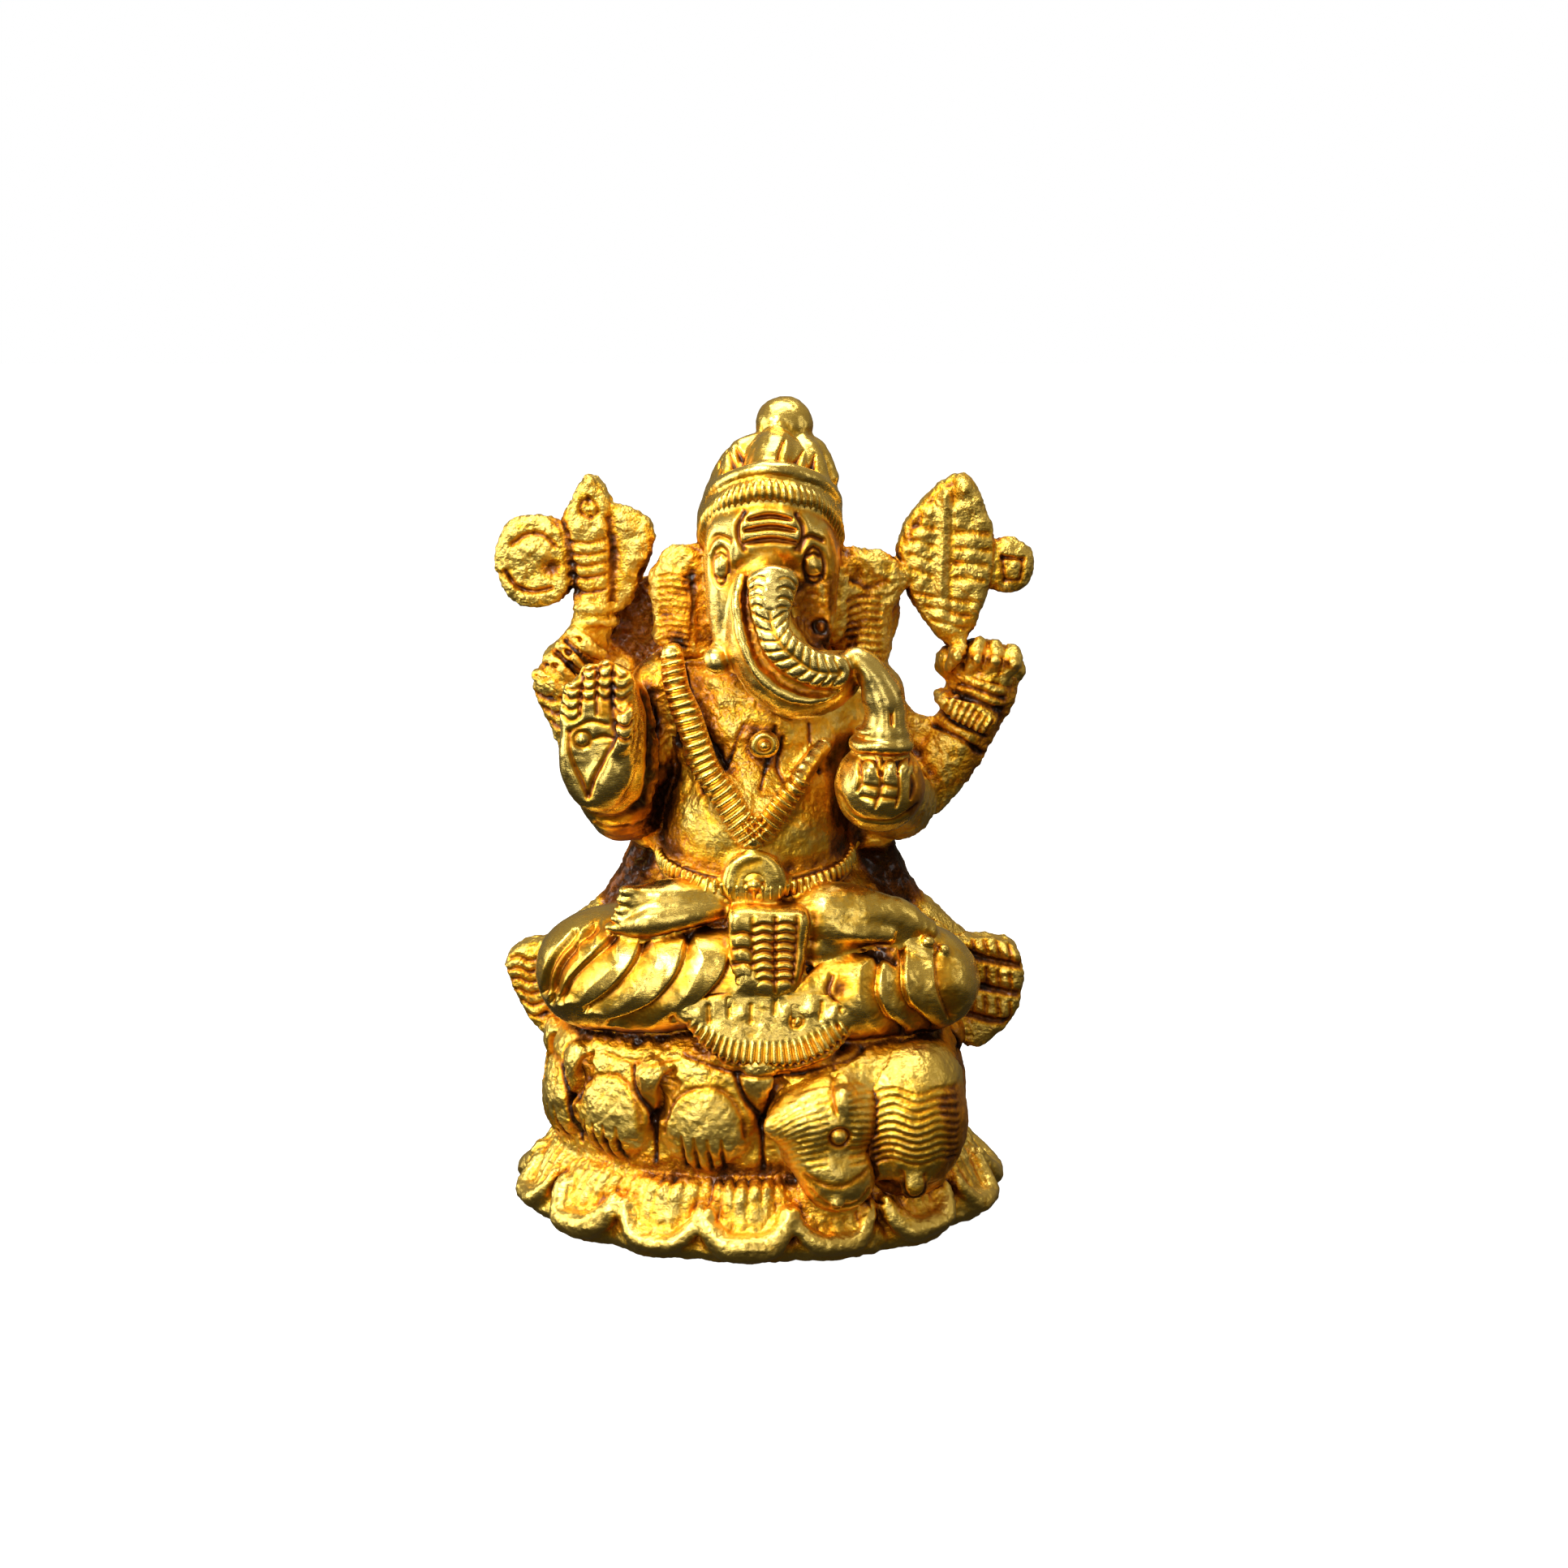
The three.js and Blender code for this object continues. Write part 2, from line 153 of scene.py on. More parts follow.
def tube(*points, straight=False):
    """A round cord through points of (x, y, z, radius)."""
    line = np.array(points, float) if straight else curve(points, steps=3)

    def distance(x, y, z):
        nearest = None
        for a, b in zip(line, line[1:]):
            edge = b[:3] - a[:3]
            along = (x - a[0]) * edge[0] + (y - a[1]) * edge[1] + (z - a[2]) * edge[2]
            share = np.clip(along / max(edge @ edge, 1e-9), 0, 1)
            away = (x - a[0] - share * edge[0]) ** 2
            away = away + (y - a[1] - share * edge[1]) ** 2
            away = away + (z - a[2] - share * edge[2]) ** 2
            away = np.sqrt(away) - (a[3] + share * (b[3] - a[3]))
            nearest = away if nearest is None else np.minimum(nearest, away)
        return nearest

    widest = line[:, 3].max()
    return Shape(distance, line[:, :3].min(0) - widest, line[:, :3].max(0) + widest)


def flat_distance(outline, x, z):
    """Distance to a closed outline of (x, z) points, negative inside it."""
    nearest = np.full(np.broadcast(x, z).shape, 1e9, np.float32)
    inside = np.zeros(nearest.shape, bool)
    for a, b in zip(outline, np.roll(outline, -1, axis=0)):
        edge = b - a
        u, w = x - a[0], z - a[1]
        share = np.clip((u * edge[0] + w * edge[1]) / max(edge @ edge, 1e-9), 0, 1)
        nearest = np.minimum(nearest, (u - share * edge[0]) ** 2 + (w - share * edge[1]) ** 2)
        if edge[1] != 0:
            crossing = (a[1] > z) != (b[1] > z)
            inside ^= crossing & (x < a[0] + w * edge[0] / edge[1])
    return np.where(inside, -1, 1) * np.sqrt(nearest)


def plate_distance(across, through, round_by):
    """Distance to a plate with rounded edges, from the distances to its rim and to its faces."""
    across = across + round_by
    through = through + round_by
    outer = np.sqrt(np.maximum(across, 0) ** 2 + np.maximum(through, 0) ** 2)
    return outer + np.minimum(np.maximum(across, through), 0) - round_by


def slab(outline, front, back, round_by=0.4, lean=0.0):
    """A plate with an outline of (x, z) points. lean is how far its foot stands forward, per mm of height."""
    outline = curve(outline, closed=True, steps=3)
    middle, half = (front + back) / 2, (back - front) / 2
    mid_z = outline[:, 1].mean()

    def distance(x, y, z):
        through = np.abs(y - middle - lean * (z - mid_z)) - half
        return plate_distance(flat_distance(outline, x, z), through, round_by)

    low, high = outline.min(0), outline.max(0)
    sway = abs(lean) * (high[1] - low[1])
    return Shape(distance, (low[0], front - sway, low[1]), (high[0], back + sway, high[1]))


def ribbon(*points, thick=0.5, round_by=0.25):
    """A flat strip seen from the front, through points of (x, y, z, half width). thick is half its depth."""
    line = curve(points, steps=3)

    def distance(x, y, z):
        nearest = None
        for a, b in zip(line, line[1:]):
            edge = (b - a)[[0, 2]]
            along = (x - a[0]) * edge[0] + (z - a[2]) * edge[1]
            share = np.clip(along / max(edge @ edge, 1e-9), 0, 1)
            gap = np.hypot(x - a[0] - share * edge[0], z - a[2] - share * edge[1])
            across = gap - (a[3] + share * (b[3] - a[3]))
            through = np.abs(y - a[1] - share * (b[1] - a[1])) - thick
            away = plate_distance(across, through, round_by)
            nearest = away if nearest is None else np.minimum(nearest, away)
        return nearest

    margin = np.array([line[:, 3].max(), thick, line[:, 3].max()])
    return Shape(distance, line[:, :3].min(0) - margin, line[:, :3].max(0) + margin)


def ring(centre, half_x, half_y, cord, tilt=0.0, flat=1.0):
    """A cord round an ellipse. tilt lifts its front, in degrees. flat above 1 makes the cord a tall band."""
    cos, sin = math.cos(math.radians(tilt)), math.sin(math.radians(tilt))

    def distance(x, y, z):
        v, w = y - centre[1], z - centre[2]
        along, above = v * cos - w * sin, v * sin + w * cos
        u = x - centre[0]
        turn = np.arctan2(along / half_y, u / half_x)
        off = np.hypot(u, along) - np.hypot(half_x * np.cos(turn), half_y * np.sin(turn))
        return (np.hypot(off, above / flat) - cord) * (1.0 if flat <= 1 else 0.8)

    rise = half_y * abs(sin) + cord * flat
    low = (centre[0] - half_x - cord, centre[1] - half_y - cord, centre[2] - rise)
    high = (centre[0] + half_x + cord, centre[1] + half_y + cord, centre[2] + rise)
    return Shape(distance, low, high)


def drum(centre, half_x, half_y, profile, lobes, lobe_depth, phase, end_soft=0.5):
    """A turned block. profile is a list of (z, share of the half widths); lobes scallop its side."""
    heights, shares = np.array(profile, float).T

    def distance(x, y, z):
        u, v = x - centre[0], y - centre[1]
        round_off = np.sqrt((u / half_x) ** 2 + (v / half_y) ** 2) + 1e-6
        turn = np.arctan2(u / half_x, -v / half_y)
        scallop = lobe_depth * (1 - np.abs(np.cos(lobes * (turn - phase) / 2)))
        size = np.hypot(u, v) / round_off
        side = (round_off - np.interp(z, heights, shares).astype(np.float32)) * size + scallop
        ends = np.maximum(heights[0] - z, z - heights[-1])
        return smooth_max(side * 0.9, np.broadcast_to(ends, side.shape), end_soft)

    wide_x, wide_y = half_x * shares.max(), half_y * shares.max()
    low = (centre[0] - wide_x, centre[1] - wide_y, heights[0])
    high = (centre[0] + wide_x, centre[1] + wide_y, heights[-1])
    return Shape(distance, low, high)


# ---------------------------------------------------------------- clay


def lattice_block(low, high):
    """The first and last lattice points of a box in mm."""
    first = np.floor((low - LATTICE_LOW) / STEP).astype(int)
    last = np.ceil((high - LATTICE_LOW) / STEP).astype(int) + 1
    return np.maximum(first, 0), np.minimum(last, LATTICE_COUNT)


def lattice_axes(first, last):
    """The x, y and z of a block's lattice points in mm, shaped to be combined."""
    made = []
    for k in range(3):
        along = (LATTICE_LOW[k] + STEP * np.arange(first[k], last[k])).astype(np.float32)
        made.append(along.reshape([-1 if k == j else 1 for j in range(3)]))
    return made


class Clay:
    """One piece's distance field on its own block of the lattice."""

    def __init__(self, steps):
        shapes = [shape for kind, shape, soft in steps if kind == "add"]
        low = np.min([shape.low for shape in shapes], axis=0) - REACH
        high = np.max([shape.high for shape in shapes], axis=0) + REACH
        self.first, self.last = lattice_block(low, high)
        self.field = np.full(self.last - self.first, FAR, np.float32)
        for kind, shape, soft in steps:
            first, last = lattice_block(shape.low - REACH, shape.high + REACH)
            first = np.maximum(first, self.first)
            last = np.minimum(last, self.last)
            if (first >= last).any():
                continue
            part = tuple(slice(a, b) for a, b in zip(first - self.first, last - self.first))
            near = shape.distance(*lattice_axes(first, last)).astype(np.float32)
            if kind == "add":
                self.field[part] = smooth_min(self.field[part], near, soft)
            else:
                self.field[part] = smooth_max(self.field[part], -near, soft)

    def part(self):
        """Where this block lies in the whole lattice."""
        return tuple(slice(a, b) for a, b in zip(self.first, self.last))


def add(shape, soft=0.5):
    """A step that presses a shape on, with a seam this soft."""
    return ("add", shape, soft)


def cut(shape, soft=0.3):
    """A step that carves a shape out."""
    return ("cut", shape, soft)


pieces = []


def sculpt(name, slot, steps, nodes=None, blend=0.4, chase=None, grain=0.0, rough=0.2, worn=0.1, fine=True):
    """Puts one piece on the bench.

    nodes are the CAD nodes it stands for, or the one of its own name if none are given. blend is how softly
    it flows into its neighbours, in mm. chase(skin) engraves it. grain is the height of its cast texture, in
    mm. rough and worn, from 0 to 1, say how coarse its metal is and how much it has been rubbed.
    """
    pieces.append(dict(
        name=name, slot=slot, clay=Clay(steps), nodes=nodes or [name], blend=blend, chase=chase, grain=grain,
        rough=rough, worn=worn, fine=fine,
    ))


# ---------------------------------------------------------------- chasing

PUNCH_WIDTH = 0.13  # how wide a punched ring's groove is, in mm


def walk(path, flat):
    """For each flat point, its distance to a polyline and how far along it is, with the polyline's length."""
    best = np.full(len(flat), 1e9)
    at = np.zeros(len(flat))
    walked = 0.0
    for a, b in zip(path, path[1:]):
        edge = b - a
        length = math.sqrt(edge @ edge)
        share = np.clip(((flat - a) @ edge) / length**2, 0, 1)
        gap = np.linalg.norm(flat - a - share[:, None] * edge, axis=1)
        closer = gap < best
        best = np.where(closer, gap, best)
        at = np.where(closer, walked + share * length, at)
        walked += length
    return best, at, walked


def value_noise(points, size, seed):
    """Smooth noise from -1 to 1 over points, with features of about this size in mm."""
    table = np.random.default_rng(seed).uniform(-1, 1, (64, 64, 64)).astype(np.float32)
    scaled = points / size + 100
    cell = np.floor(scaled).astype(int)
    share = scaled - cell
    share = share * share * (3 - 2 * share)
    total = np.zeros(len(points))
    for corner in np.ndindex(2, 2, 2):
        weight = np.prod(np.where(corner, share, 1 - share), axis=1)
        index = (cell + corner) % 64
        total += weight * table[index[:, 0], index[:, 1], index[:, 2]]
    return total


class Skin:
    """The surface of one piece while it is chased.

    height is what the tools raise or cut, in mm, and facets is what the folds do. The shade painted on by the
    folds and along paths, and grit, which is metal left as it was cast, both run from 0 to 1.
    """

    def __init__(self, points, normals):
        self.points = points
        self.normals = normals
        self.flat = points[:, [0, 2]]
        self.front = smoothstep(0.05, 0.5, -normals[:, 1])
        self.height = np.zeros(len(points))
        self.facets = np.zeros(len(points))
        self.painted_shade = np.zeros(len(points))
        self.grit = np.zeros(len(points))

    def near(self, path, margin):
        """Which points face the front and lie within a margin of a path's box."""
        low, high = path.min(0) - margin, path.max(0) + margin
        return np.flatnonzero(((self.flat > low) & (self.flat < high)).all(1) & (self.front > 0))

    def line(self, path, width=0.17, depth=0.2, taper=0.0, smooth=True):
        """A line cut from the front along (x, z) points. A negative depth raises it. taper thins its ends."""
        path = curve(path) if smooth and len(path) > 2 else np.array(path, float)
        which = self.near(path, 3 * width)
        if not len(which):
            return
        gap, at, length = walk(path, self.flat[which])
        wide = width
        if taper:
            wide = width * (1 - taper * np.abs(2 * at / length - 1) ** 2)
        self.height[which] -= depth * np.exp(-((gap / wide) ** 2)) * self.front[which]

    def fold(self, path, towards, width=1.0, depth=0.4):
        """A crease with a steep wall on one side and a wide facet on the side that `towards` points to."""
        path = curve(path)
        which = self.near(path, 1.5 * width)
        if not len(which):
            return
        gap, at, length = walk(path, self.flat[which])
        gap_beyond = walk(path + 0.05 * np.array(towards), self.flat[which])[0]
        ends = smoothstep(0, 0.15, at / length) * smoothstep(1, 0.85, at / length)
        facet = np.clip(1 - gap / (width * (0.35 + 0.65 * ends)), 0, 1)
        wall = np.exp(-((gap / 0.13) ** 2))
        self.facets[which] -= depth * np.where(gap_beyond < gap, facet, wall) * self.front[which]
        # painted shade: dark along the crease and softer over the wide facet beside it
        self.painted_shade[which] += 0.3 * np.exp(-((gap / 0.15) ** 2)) + 0.38 * np.where(gap_beyond < gap, facet, 0)

    def unrolled(self, centre, half, middle):
        """The same surface seen round the side of an ellipse: flat is (distance from the middle angle, z)."""
        away = self.points[:, :2] - np.array(centre)
        turn = np.arctan2(away[:, 0] / half[0], -away[:, 1] / half[1])
        turn = (turn - middle + math.pi) % (2 * math.pi) - math.pi
        size = math.hypot(half[0] * math.cos(middle), half[1] * math.sin(middle))
        outward = (self.normals[:, :2] * away).sum(1) / np.linalg.norm(away, axis=1)
        other = Skin(self.points, self.normals)
        other.flat = np.column_stack([turn * size, self.points[:, 2]])
        other.front = smoothstep(0.0, 0.4, outward)
        other.height, other.facets, other.painted_shade = self.height, self.facets, self.painted_shade
        return other

    def around(self, path, reach):
        """1 close to a polyline of (x, z) points, 0 beyond its reach."""
        gap = walk(np.array(path, float), self.flat)[0]
        return 1 - smoothstep(0.4 * reach, reach, gap)

    def paint_shade(self, path, reach, amount):
        """Painted shade along a path, except on the back."""
        self.painted_shade += amount * self.around(path, reach) * smoothstep(0.5, 0.1, self.normals[:, 1])

    def roughen(self, path, reach, amount):
        """Metal left as it was cast along a path."""
        self.grit += amount * self.around(path, reach)

    def roll(self, path, width, height):
        """A soft raised roll along (x, z) points."""
        self.line(path, width, -height)

    def ribs(self, path, pitch, reach, depth):
        """Ribs across a path, out to `reach` on each side of it."""
        path = curve(path) if len(path) > 2 else np.array(path, float)
        which = self.near(path, reach)
        if not len(which):
            return
        gap, at, length = walk(path, self.flat[which])
        fade = 1 - smoothstep(reach * 0.8, reach, gap)
        inside = (at > 0) & (at < length)
        wave = np.cos(2 * math.pi * at / pitch)
        self.height[which] += depth * wave * fade * inside * self.front[which]

    def ring_dot(self, centre, radius, depth, dot=0.45):
        """A punched ring with a raised dot in its middle. dot is the dot's share of the ring."""
        path = np.array([centre], float)
        which = self.near(path, radius + 4 * PUNCH_WIDTH)
        away = np.linalg.norm(self.flat[which] - path[0], axis=1)
        mark = -depth * np.exp(-(((away - radius) / PUNCH_WIDTH) ** 2))
        mark = mark + depth * 0.7 * np.exp(-((away / (radius * dot)) ** 4))
        self.height[which] += mark * self.front[which]

    def dent(self, centre, radius, depth):
        """A round hollow, or with a negative depth a round bead."""
        path = np.array([centre], float)
        which = self.near(path, 2 * radius)
        away = np.linalg.norm(self.flat[which] - path[0], axis=1)
        self.height[which] -= depth * np.exp(-((away / radius) ** 2)) * self.front[which]


# ---------------------------------------------------------------- casting

# sizes and heights are in mm
FEELERS = ((0.5, 0.4), (1.0, 0.35), (1.8, 0.25))  # how far hollows and edges are felt for, and their shares
HOLLOW_ROUGHNESS = 0.45  # how much rougher the metal is in a hollow
CHASE_LEAST, CHASE_SWING, CHASE_PATCH = 0.8, 0.35, 1.3  # lines are cut deeper in some patches than in others
GRAIN_SIZES = (0.42, 0.21)
GRAIN_SHARES = (0.6, 0.4)
GRAIN_HEIGHT = 0.15  # on wholly rough metal, on top of the piece's own
LUMP_SIZE = 0.85
LUMP_LEAST, LUMP_HEIGHT = 0.02, 0.08
SWAY_SIZE, SWAY = 1.9, 0.11  # how the hand-made forms wander
GROOVE_DEPTH = 0.27  # a groove this deep is full of dirt
GROOVE_DIRT = 0.72
PIT_DIRT = 0.35
CREST_HEIGHT = 0.25  # a crest this high is rubbed bright
CREST_LUMPS = 0.15
CREST_SHINE = 0.3


def sample(field, points):
    """The lattice field at points in mm, between its nodes."""
    place = np.clip((points - LATTICE_LOW) / STEP, 0, LATTICE_COUNT - 1.001)
    cell = place.astype(int)
    share = place - cell
    total = np.zeros(len(points))
    for corner in np.ndindex(2, 2, 2):
        weight = np.prod(np.where(corner, share, 1 - share), axis=1)
        index = cell + corner
        total += weight * field[index[:, 0], index[:, 1], index[:, 2]]
    return total


def own_field(clay, blend, index, nearest, which, second):
    """A piece's field after it has flowed into its neighbours, ending just inside them."""
    part = clay.part()
    others = np.where(which[part] == index, second[part], nearest[part])
    flowing = smooth_min(clay.field, others, blend)
    inside = (clay.field - others) / 2
    flowing = flowing + 0.35 * np.maximum(inside - 0.05, 0)  # leaves a faint seam
    return np.maximum(flowing, inside - OVERLAP)


def quads_of(clay, field):
    """Points in mm and outward-facing quads of the field's zero surface."""
    grid = openvdb.FloatGrid(BAND)
    grid.gridClass = openvdb.GridClass.LEVEL_SET
    grid.copyFromArray(np.clip(field / STEP, -BAND, BAND).astype(np.float32), tolerance=0.0)
    points, quads = grid.convertToQuads(0.0)
    points = (points + clay.first) * STEP + LATTICE_LOW
    return points, quads[:, ::-1]


def drop_islands(points, quads):
    """Leaves out loose scraps of skin."""
    label = np.arange(len(points))
    while True:
        lowest = label[quads].min(1)
        fresh = label.copy()
        for k in range(4):
            np.minimum.at(fresh, quads[:, k], lowest)
        fresh = fresh[fresh]
        if (fresh == label).all():
            break
        label = fresh
    back, counts = np.unique(label, return_inverse=True, return_counts=True)[1:]
    keep = counts[back] >= SMALLEST_ISLAND
    if keep.all():
        return points, quads
    renumber = np.cumsum(keep) - 1
    return points[keep], renumber[quads[keep[quads[:, 0]]]]


def mesh_from(name, points, quads):
    mesh = bpy.data.meshes.new(name)
    mesh.vertices.add(len(points))
    mesh.vertices.foreach_set("co", (points * MM + ORIGIN).astype(np.float32).ravel())
    mesh.loops.add(quads.size)
    mesh.loops.foreach_set("vertex_index", quads.astype(np.int32).ravel())
    mesh.polygons.add(len(quads))
    mesh.polygons.foreach_set("loop_start", np.arange(0, quads.size, 4, dtype=np.int32))
    mesh.update(calc_edges=True)
    return mesh


def refined(obj):
    """The object's mesh after one round of subdivision."""
    modifier = obj.modifiers.new("refine", "SUBSURF")
    modifier.levels = 1
    evaluated = obj.evaluated_get(bpy.context.evaluated_depsgraph_get())
    mesh = bpy.data.meshes.new_from_object(evaluated)
    obj.modifiers.remove(modifier)
    return mesh


def points_and_normals(mesh):
    """The mesh's points in mm and their normals."""
    count = len(mesh.vertices)
    points = np.empty(count * 3, np.float32)
    normals = np.empty(count * 3, np.float32)
    mesh.vertices.foreach_get("co", points)
    mesh.vertex_normals.foreach_get("vector", normals)
    return (points.reshape(-1, 3) - ORIGIN) / MM, normals.reshape(-1, 3).astype(float)


def write_attribute(mesh, name, values):
    attribute = mesh.attributes.new(name, "FLOAT", "POINT")
    attribute.data.foreach_set("value", values.astype(np.float32))


def cast_all():
    """Turns every piece of clay into a finished object that rides on the frame."""
    nearest = np.full(LATTICE_COUNT, FAR, np.float32)
    second = np.full(LATTICE_COUNT, FAR, np.float32)
    which = np.full(LATTICE_COUNT, -1, np.int16)
    for index, piece in enumerate(pieces):
        clay = piece["clay"]
        part = clay.part()
        closer = clay.field < nearest[part]
        second[part] = np.where(closer, nearest[part], np.minimum(second[part], clay.field))
        nearest[part] = np.where(closer, clay.field, nearest[part])
        which[part] = np.where(closer, index, which[part])
    for index, piece in enumerate(pieces):
        clay = piece["clay"]
        field = own_field(clay, piece["blend"], index, nearest, which, second)
        points, quads = drop_islands(*quads_of(clay, field))
        obj = bpy.data.objects.new(piece["name"], mesh_from(piece["name"], points, quads))
        bpy.context.scene.collection.objects.link(obj)
        if piece["fine"]:
            obj.data = refined(obj)
        finish_skin(obj.data, piece, nearest)
        obj.data.materials.append(materials[piece["slot"]])
        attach(obj, "root")
        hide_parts(*piece["nodes"])


def hollows_and_edges(points, normals, nearest):
    """How deep each point lies in a hollow and how far it stands out on an edge, from 0 to 1."""
    hollow = np.zeros(len(points))
    edge = np.zeros(len(points))
    for reach, weight in FEELERS:
        hollow += weight * np.clip(1 - sample(nearest, points + reach * normals) / reach, 0, 1)
        edge += weight * np.clip(1 + sample(nearest, points - reach * normals) / reach, 0, 1)
    return hollow, edge


def finish_skin(mesh, piece, nearest):
    """Chases a piece, adds its cast grain and writes what its patina and its painted shade follow."""
    points, normals = points_and_normals(mesh)
    skin = Skin(points, normals)
    hollow, edge = hollows_and_edges(points, normals, nearest)
    if piece["chase"]:
        piece["chase"](skin)
    rough = np.clip(piece["rough"] + HOLLOW_ROUGHNESS * hollow + skin.grit, 0, 1)
    chased = skin.height * (CHASE_LEAST + CHASE_SWING * value_noise(points, CHASE_PATCH, 6))
    coarse, fine = (value_noise(points, size, seed) for size, seed in zip(GRAIN_SIZES, (3, 4)))
    grain = GRAIN_SHARES[0] * coarse + GRAIN_SHARES[1] * fine
    lumps = value_noise(points, LUMP_SIZE, 5)
    lift = chased + skin.facets + (piece["grain"] + GRAIN_HEIGHT * rough**2) * grain
    lift = lift + (LUMP_LEAST + LUMP_HEIGHT * rough) * lumps
    moved = points + lift[:, None] * normals
    for k in range(3):
        moved[:, k] += SWAY * value_noise(points, SWAY_SIZE, 10 + k)
    moved[:, 2] = np.maximum(moved[:, 2], 0.0)
    mesh.vertices.foreach_set("co", (moved * MM + ORIGIN).astype(np.float32).ravel())
    mesh.update()
    groove = np.clip(-skin.height / GROOVE_DEPTH, 0, 1)
    crest = np.clip((skin.height + 0.6 * lumps * rough * CREST_LUMPS) / CREST_HEIGHT, 0, 1)
    pitted = PIT_DIRT * rough * np.clip(-lumps - 0.6 * grain, 0, 1)
    # hollow carries the patina of hollows, grooves and pits, and the painted shade laid on while chasing
    write_attribute(mesh, "hollow", np.clip(hollow + GROOVE_DIRT * groove + pitted + skin.painted_shade, 0, 1))
    write_attribute(mesh, "edge", np.clip(edge + CREST_SHINE * crest - groove, 0, 1))
    write_attribute(mesh, "cast", rough)
    write_attribute(mesh, "worn", np.full(len(points), piece["worn"]))
    mesh.polygons.foreach_set("use_smooth", np.ones(len(mesh.polygons), bool))


# ---------------------------------------------------------------- brass

POLISHED = (0.86, 0.69, 0.24)  # rubbed by hands
# the same ramp also turns the painted shade into orange and dark brown
PATINA = (  # from bare metal to the dirt in a crevice
    (0.0, (0.96, 0.65, 0.11)),
    (0.16, (0.92, 0.52, 0.025)),
    (0.4, (0.82, 0.33, 0.008)),
    (0.68, (0.28, 0.08, 0.004)),
    (0.95, (0.035, 0.010, 0.002)),
)


def brass(name, gloss, grain_height):
    """Cast brass: bright where worn, orange in hollows, dark brown in crevices and where shade is painted,
    with grain and scratches.
    """
    material = bpy.data.materials.new(name)
    material.use_nodes = True
    nodes, links = material.node_tree.nodes, material.node_tree.links
    shader = nodes["Principled BSDF"]
    shader.inputs["Metallic"].default_value = 1.0
    shader.inputs["IOR"].default_value = 1.5
    shader.inputs["Coat Weight"].default_value = 0.4
    shader.inputs["Coat Roughness"].default_value = 0.22

    def attribute(kind):
        node = nodes.new("ShaderNodeAttribute")
        node.attribute_name = kind
        return node.outputs["Fac"]

    def combine(operation, a, b, clamp=False):
        """A node of arithmetic on two values, each a number or a socket."""
        node = nodes.new("ShaderNodeMath")
        node.operation = operation
        node.use_clamp = clamp
        for socket, value in zip(node.inputs, (a, b)):
            if isinstance(value, (int, float)):
                socket.default_value = value
            else:
                links.new(value, socket)
        return node.outputs[0]

    def noise(per_mm, detail, stretch=None):
        """A texture from 0 to 1 with this many waves in a mm, packed closer along an axis by stretch."""
        node = nodes.new("ShaderNodeTexNoise")
        node.inputs["Scale"].default_value = per_mm / MM
        node.inputs["Detail"].default_value = detail
        source = coordinates.outputs["Object"]
        if stretch:
            squeeze = nodes.new("ShaderNodeMapping")
            squeeze.inputs["Scale"].default_value = stretch
            links.new(source, squeeze.inputs["Vector"])
            source = squeeze.outputs["Vector"]
        links.new(source, node.inputs["Vector"])
        return node.outputs["Fac"]

    def swing(texture, amount):
        """A texture's rise above and fall below its middle."""
        return combine("MULTIPLY", combine("SUBTRACT", texture, 0.5), amount)

    coordinates = nodes.new("ShaderNodeTexCoord")
    hollow, edge, cast, worn = (attribute(kind) for kind in ("hollow", "edge", "cast", "worn"))
    clouds = noise(0.35, 3.0)
    grain = noise(3.2, 4.0)
    pits = noise(6.5, 2.0)
    scratches = noise(2.5, 3.0, stretch=(1.0, 0.6, 7.0))

    # the hollow attribute brings both the patina and the painted shade; together they pick the colour on the
    # ramp and keep the rubbed colour off
    dirt_and_shade = combine("ADD", combine("ADD", hollow, swing(grain, 0.35)), swing(clouds, 0.3))
    dirt_and_shade = combine("SUBTRACT", dirt_and_shade, combine("MULTIPLY", edge, 0.35), clamp=True)
    patina = nodes.new("ShaderNodeValToRGB")
    stops = patina.color_ramp.elements
    stops[0].position, stops[0].color = PATINA[0][0], (*PATINA[0][1], 1)
    stops[1].position, stops[1].color = PATINA[-1][0], (*PATINA[-1][1], 1)
    for position, colour in PATINA[1:-1]:
        stops.new(position).color = (*colour, 1)
    links.new(dirt_and_shade, patina.inputs["Fac"])

    clean_and_unshaded = combine("SUBTRACT", 1.0, combine("MULTIPLY", dirt_and_shade, 3.0), clamp=True)
    polish = nodes.new("ShaderNodeMix")
    polish.data_type = "RGBA"
    polish.inputs["B"].default_value = (*POLISHED, 1)
    links.new(patina.outputs["Color"], polish.inputs["A"])
    links.new(combine("MULTIPLY", combine("MULTIPLY", worn, clean_and_unshaded), 0.7), polish.inputs["Factor"])
    links.new(polish.outputs["Result"], shader.inputs["Base Color"])

    dull = combine("ADD", gloss, combine("MULTIPLY", dirt_and_shade, 0.3))
    dull = combine("ADD", dull, combine("MULTIPLY", cast, 0.07))
    dull = combine("ADD", dull, swing(scratches, 0.18), clamp=True)
    links.new(dull, shader.inputs["Roughness"])

    coarse = combine("MULTIPLY", combine("MULTIPLY", cast, cast), 1.4)
    relief = combine("ADD", combine("MULTIPLY", grain, 0.6), combine("MULTIPLY", pits, 0.4))
    relief = combine("MULTIPLY", relief, combine("ADD", 0.25, coarse))
    relief = combine("ADD", relief, combine("MULTIPLY", scratches, 0.12))
    bump = nodes.new("ShaderNodeBump")
    bump.inputs["Strength"].default_value = 0.8
    bump.inputs["Distance"].default_value = grain_height * MM
    links.new(relief, bump.inputs["Height"])
    links.new(bump.outputs["Normal"], shader.inputs["Normal"])
    return material


materials = {
    BURNISHED: brass(BURNISHED, gloss=0.25, grain_height=0.10),
    ROUGH_CAST: brass(ROUGH_CAST, gloss=0.32, grain_height=0.22),
    SATIN: brass(SATIN, gloss=0.31, grain_height=0.16),
}


# ---------------------------------------------------------------- crown


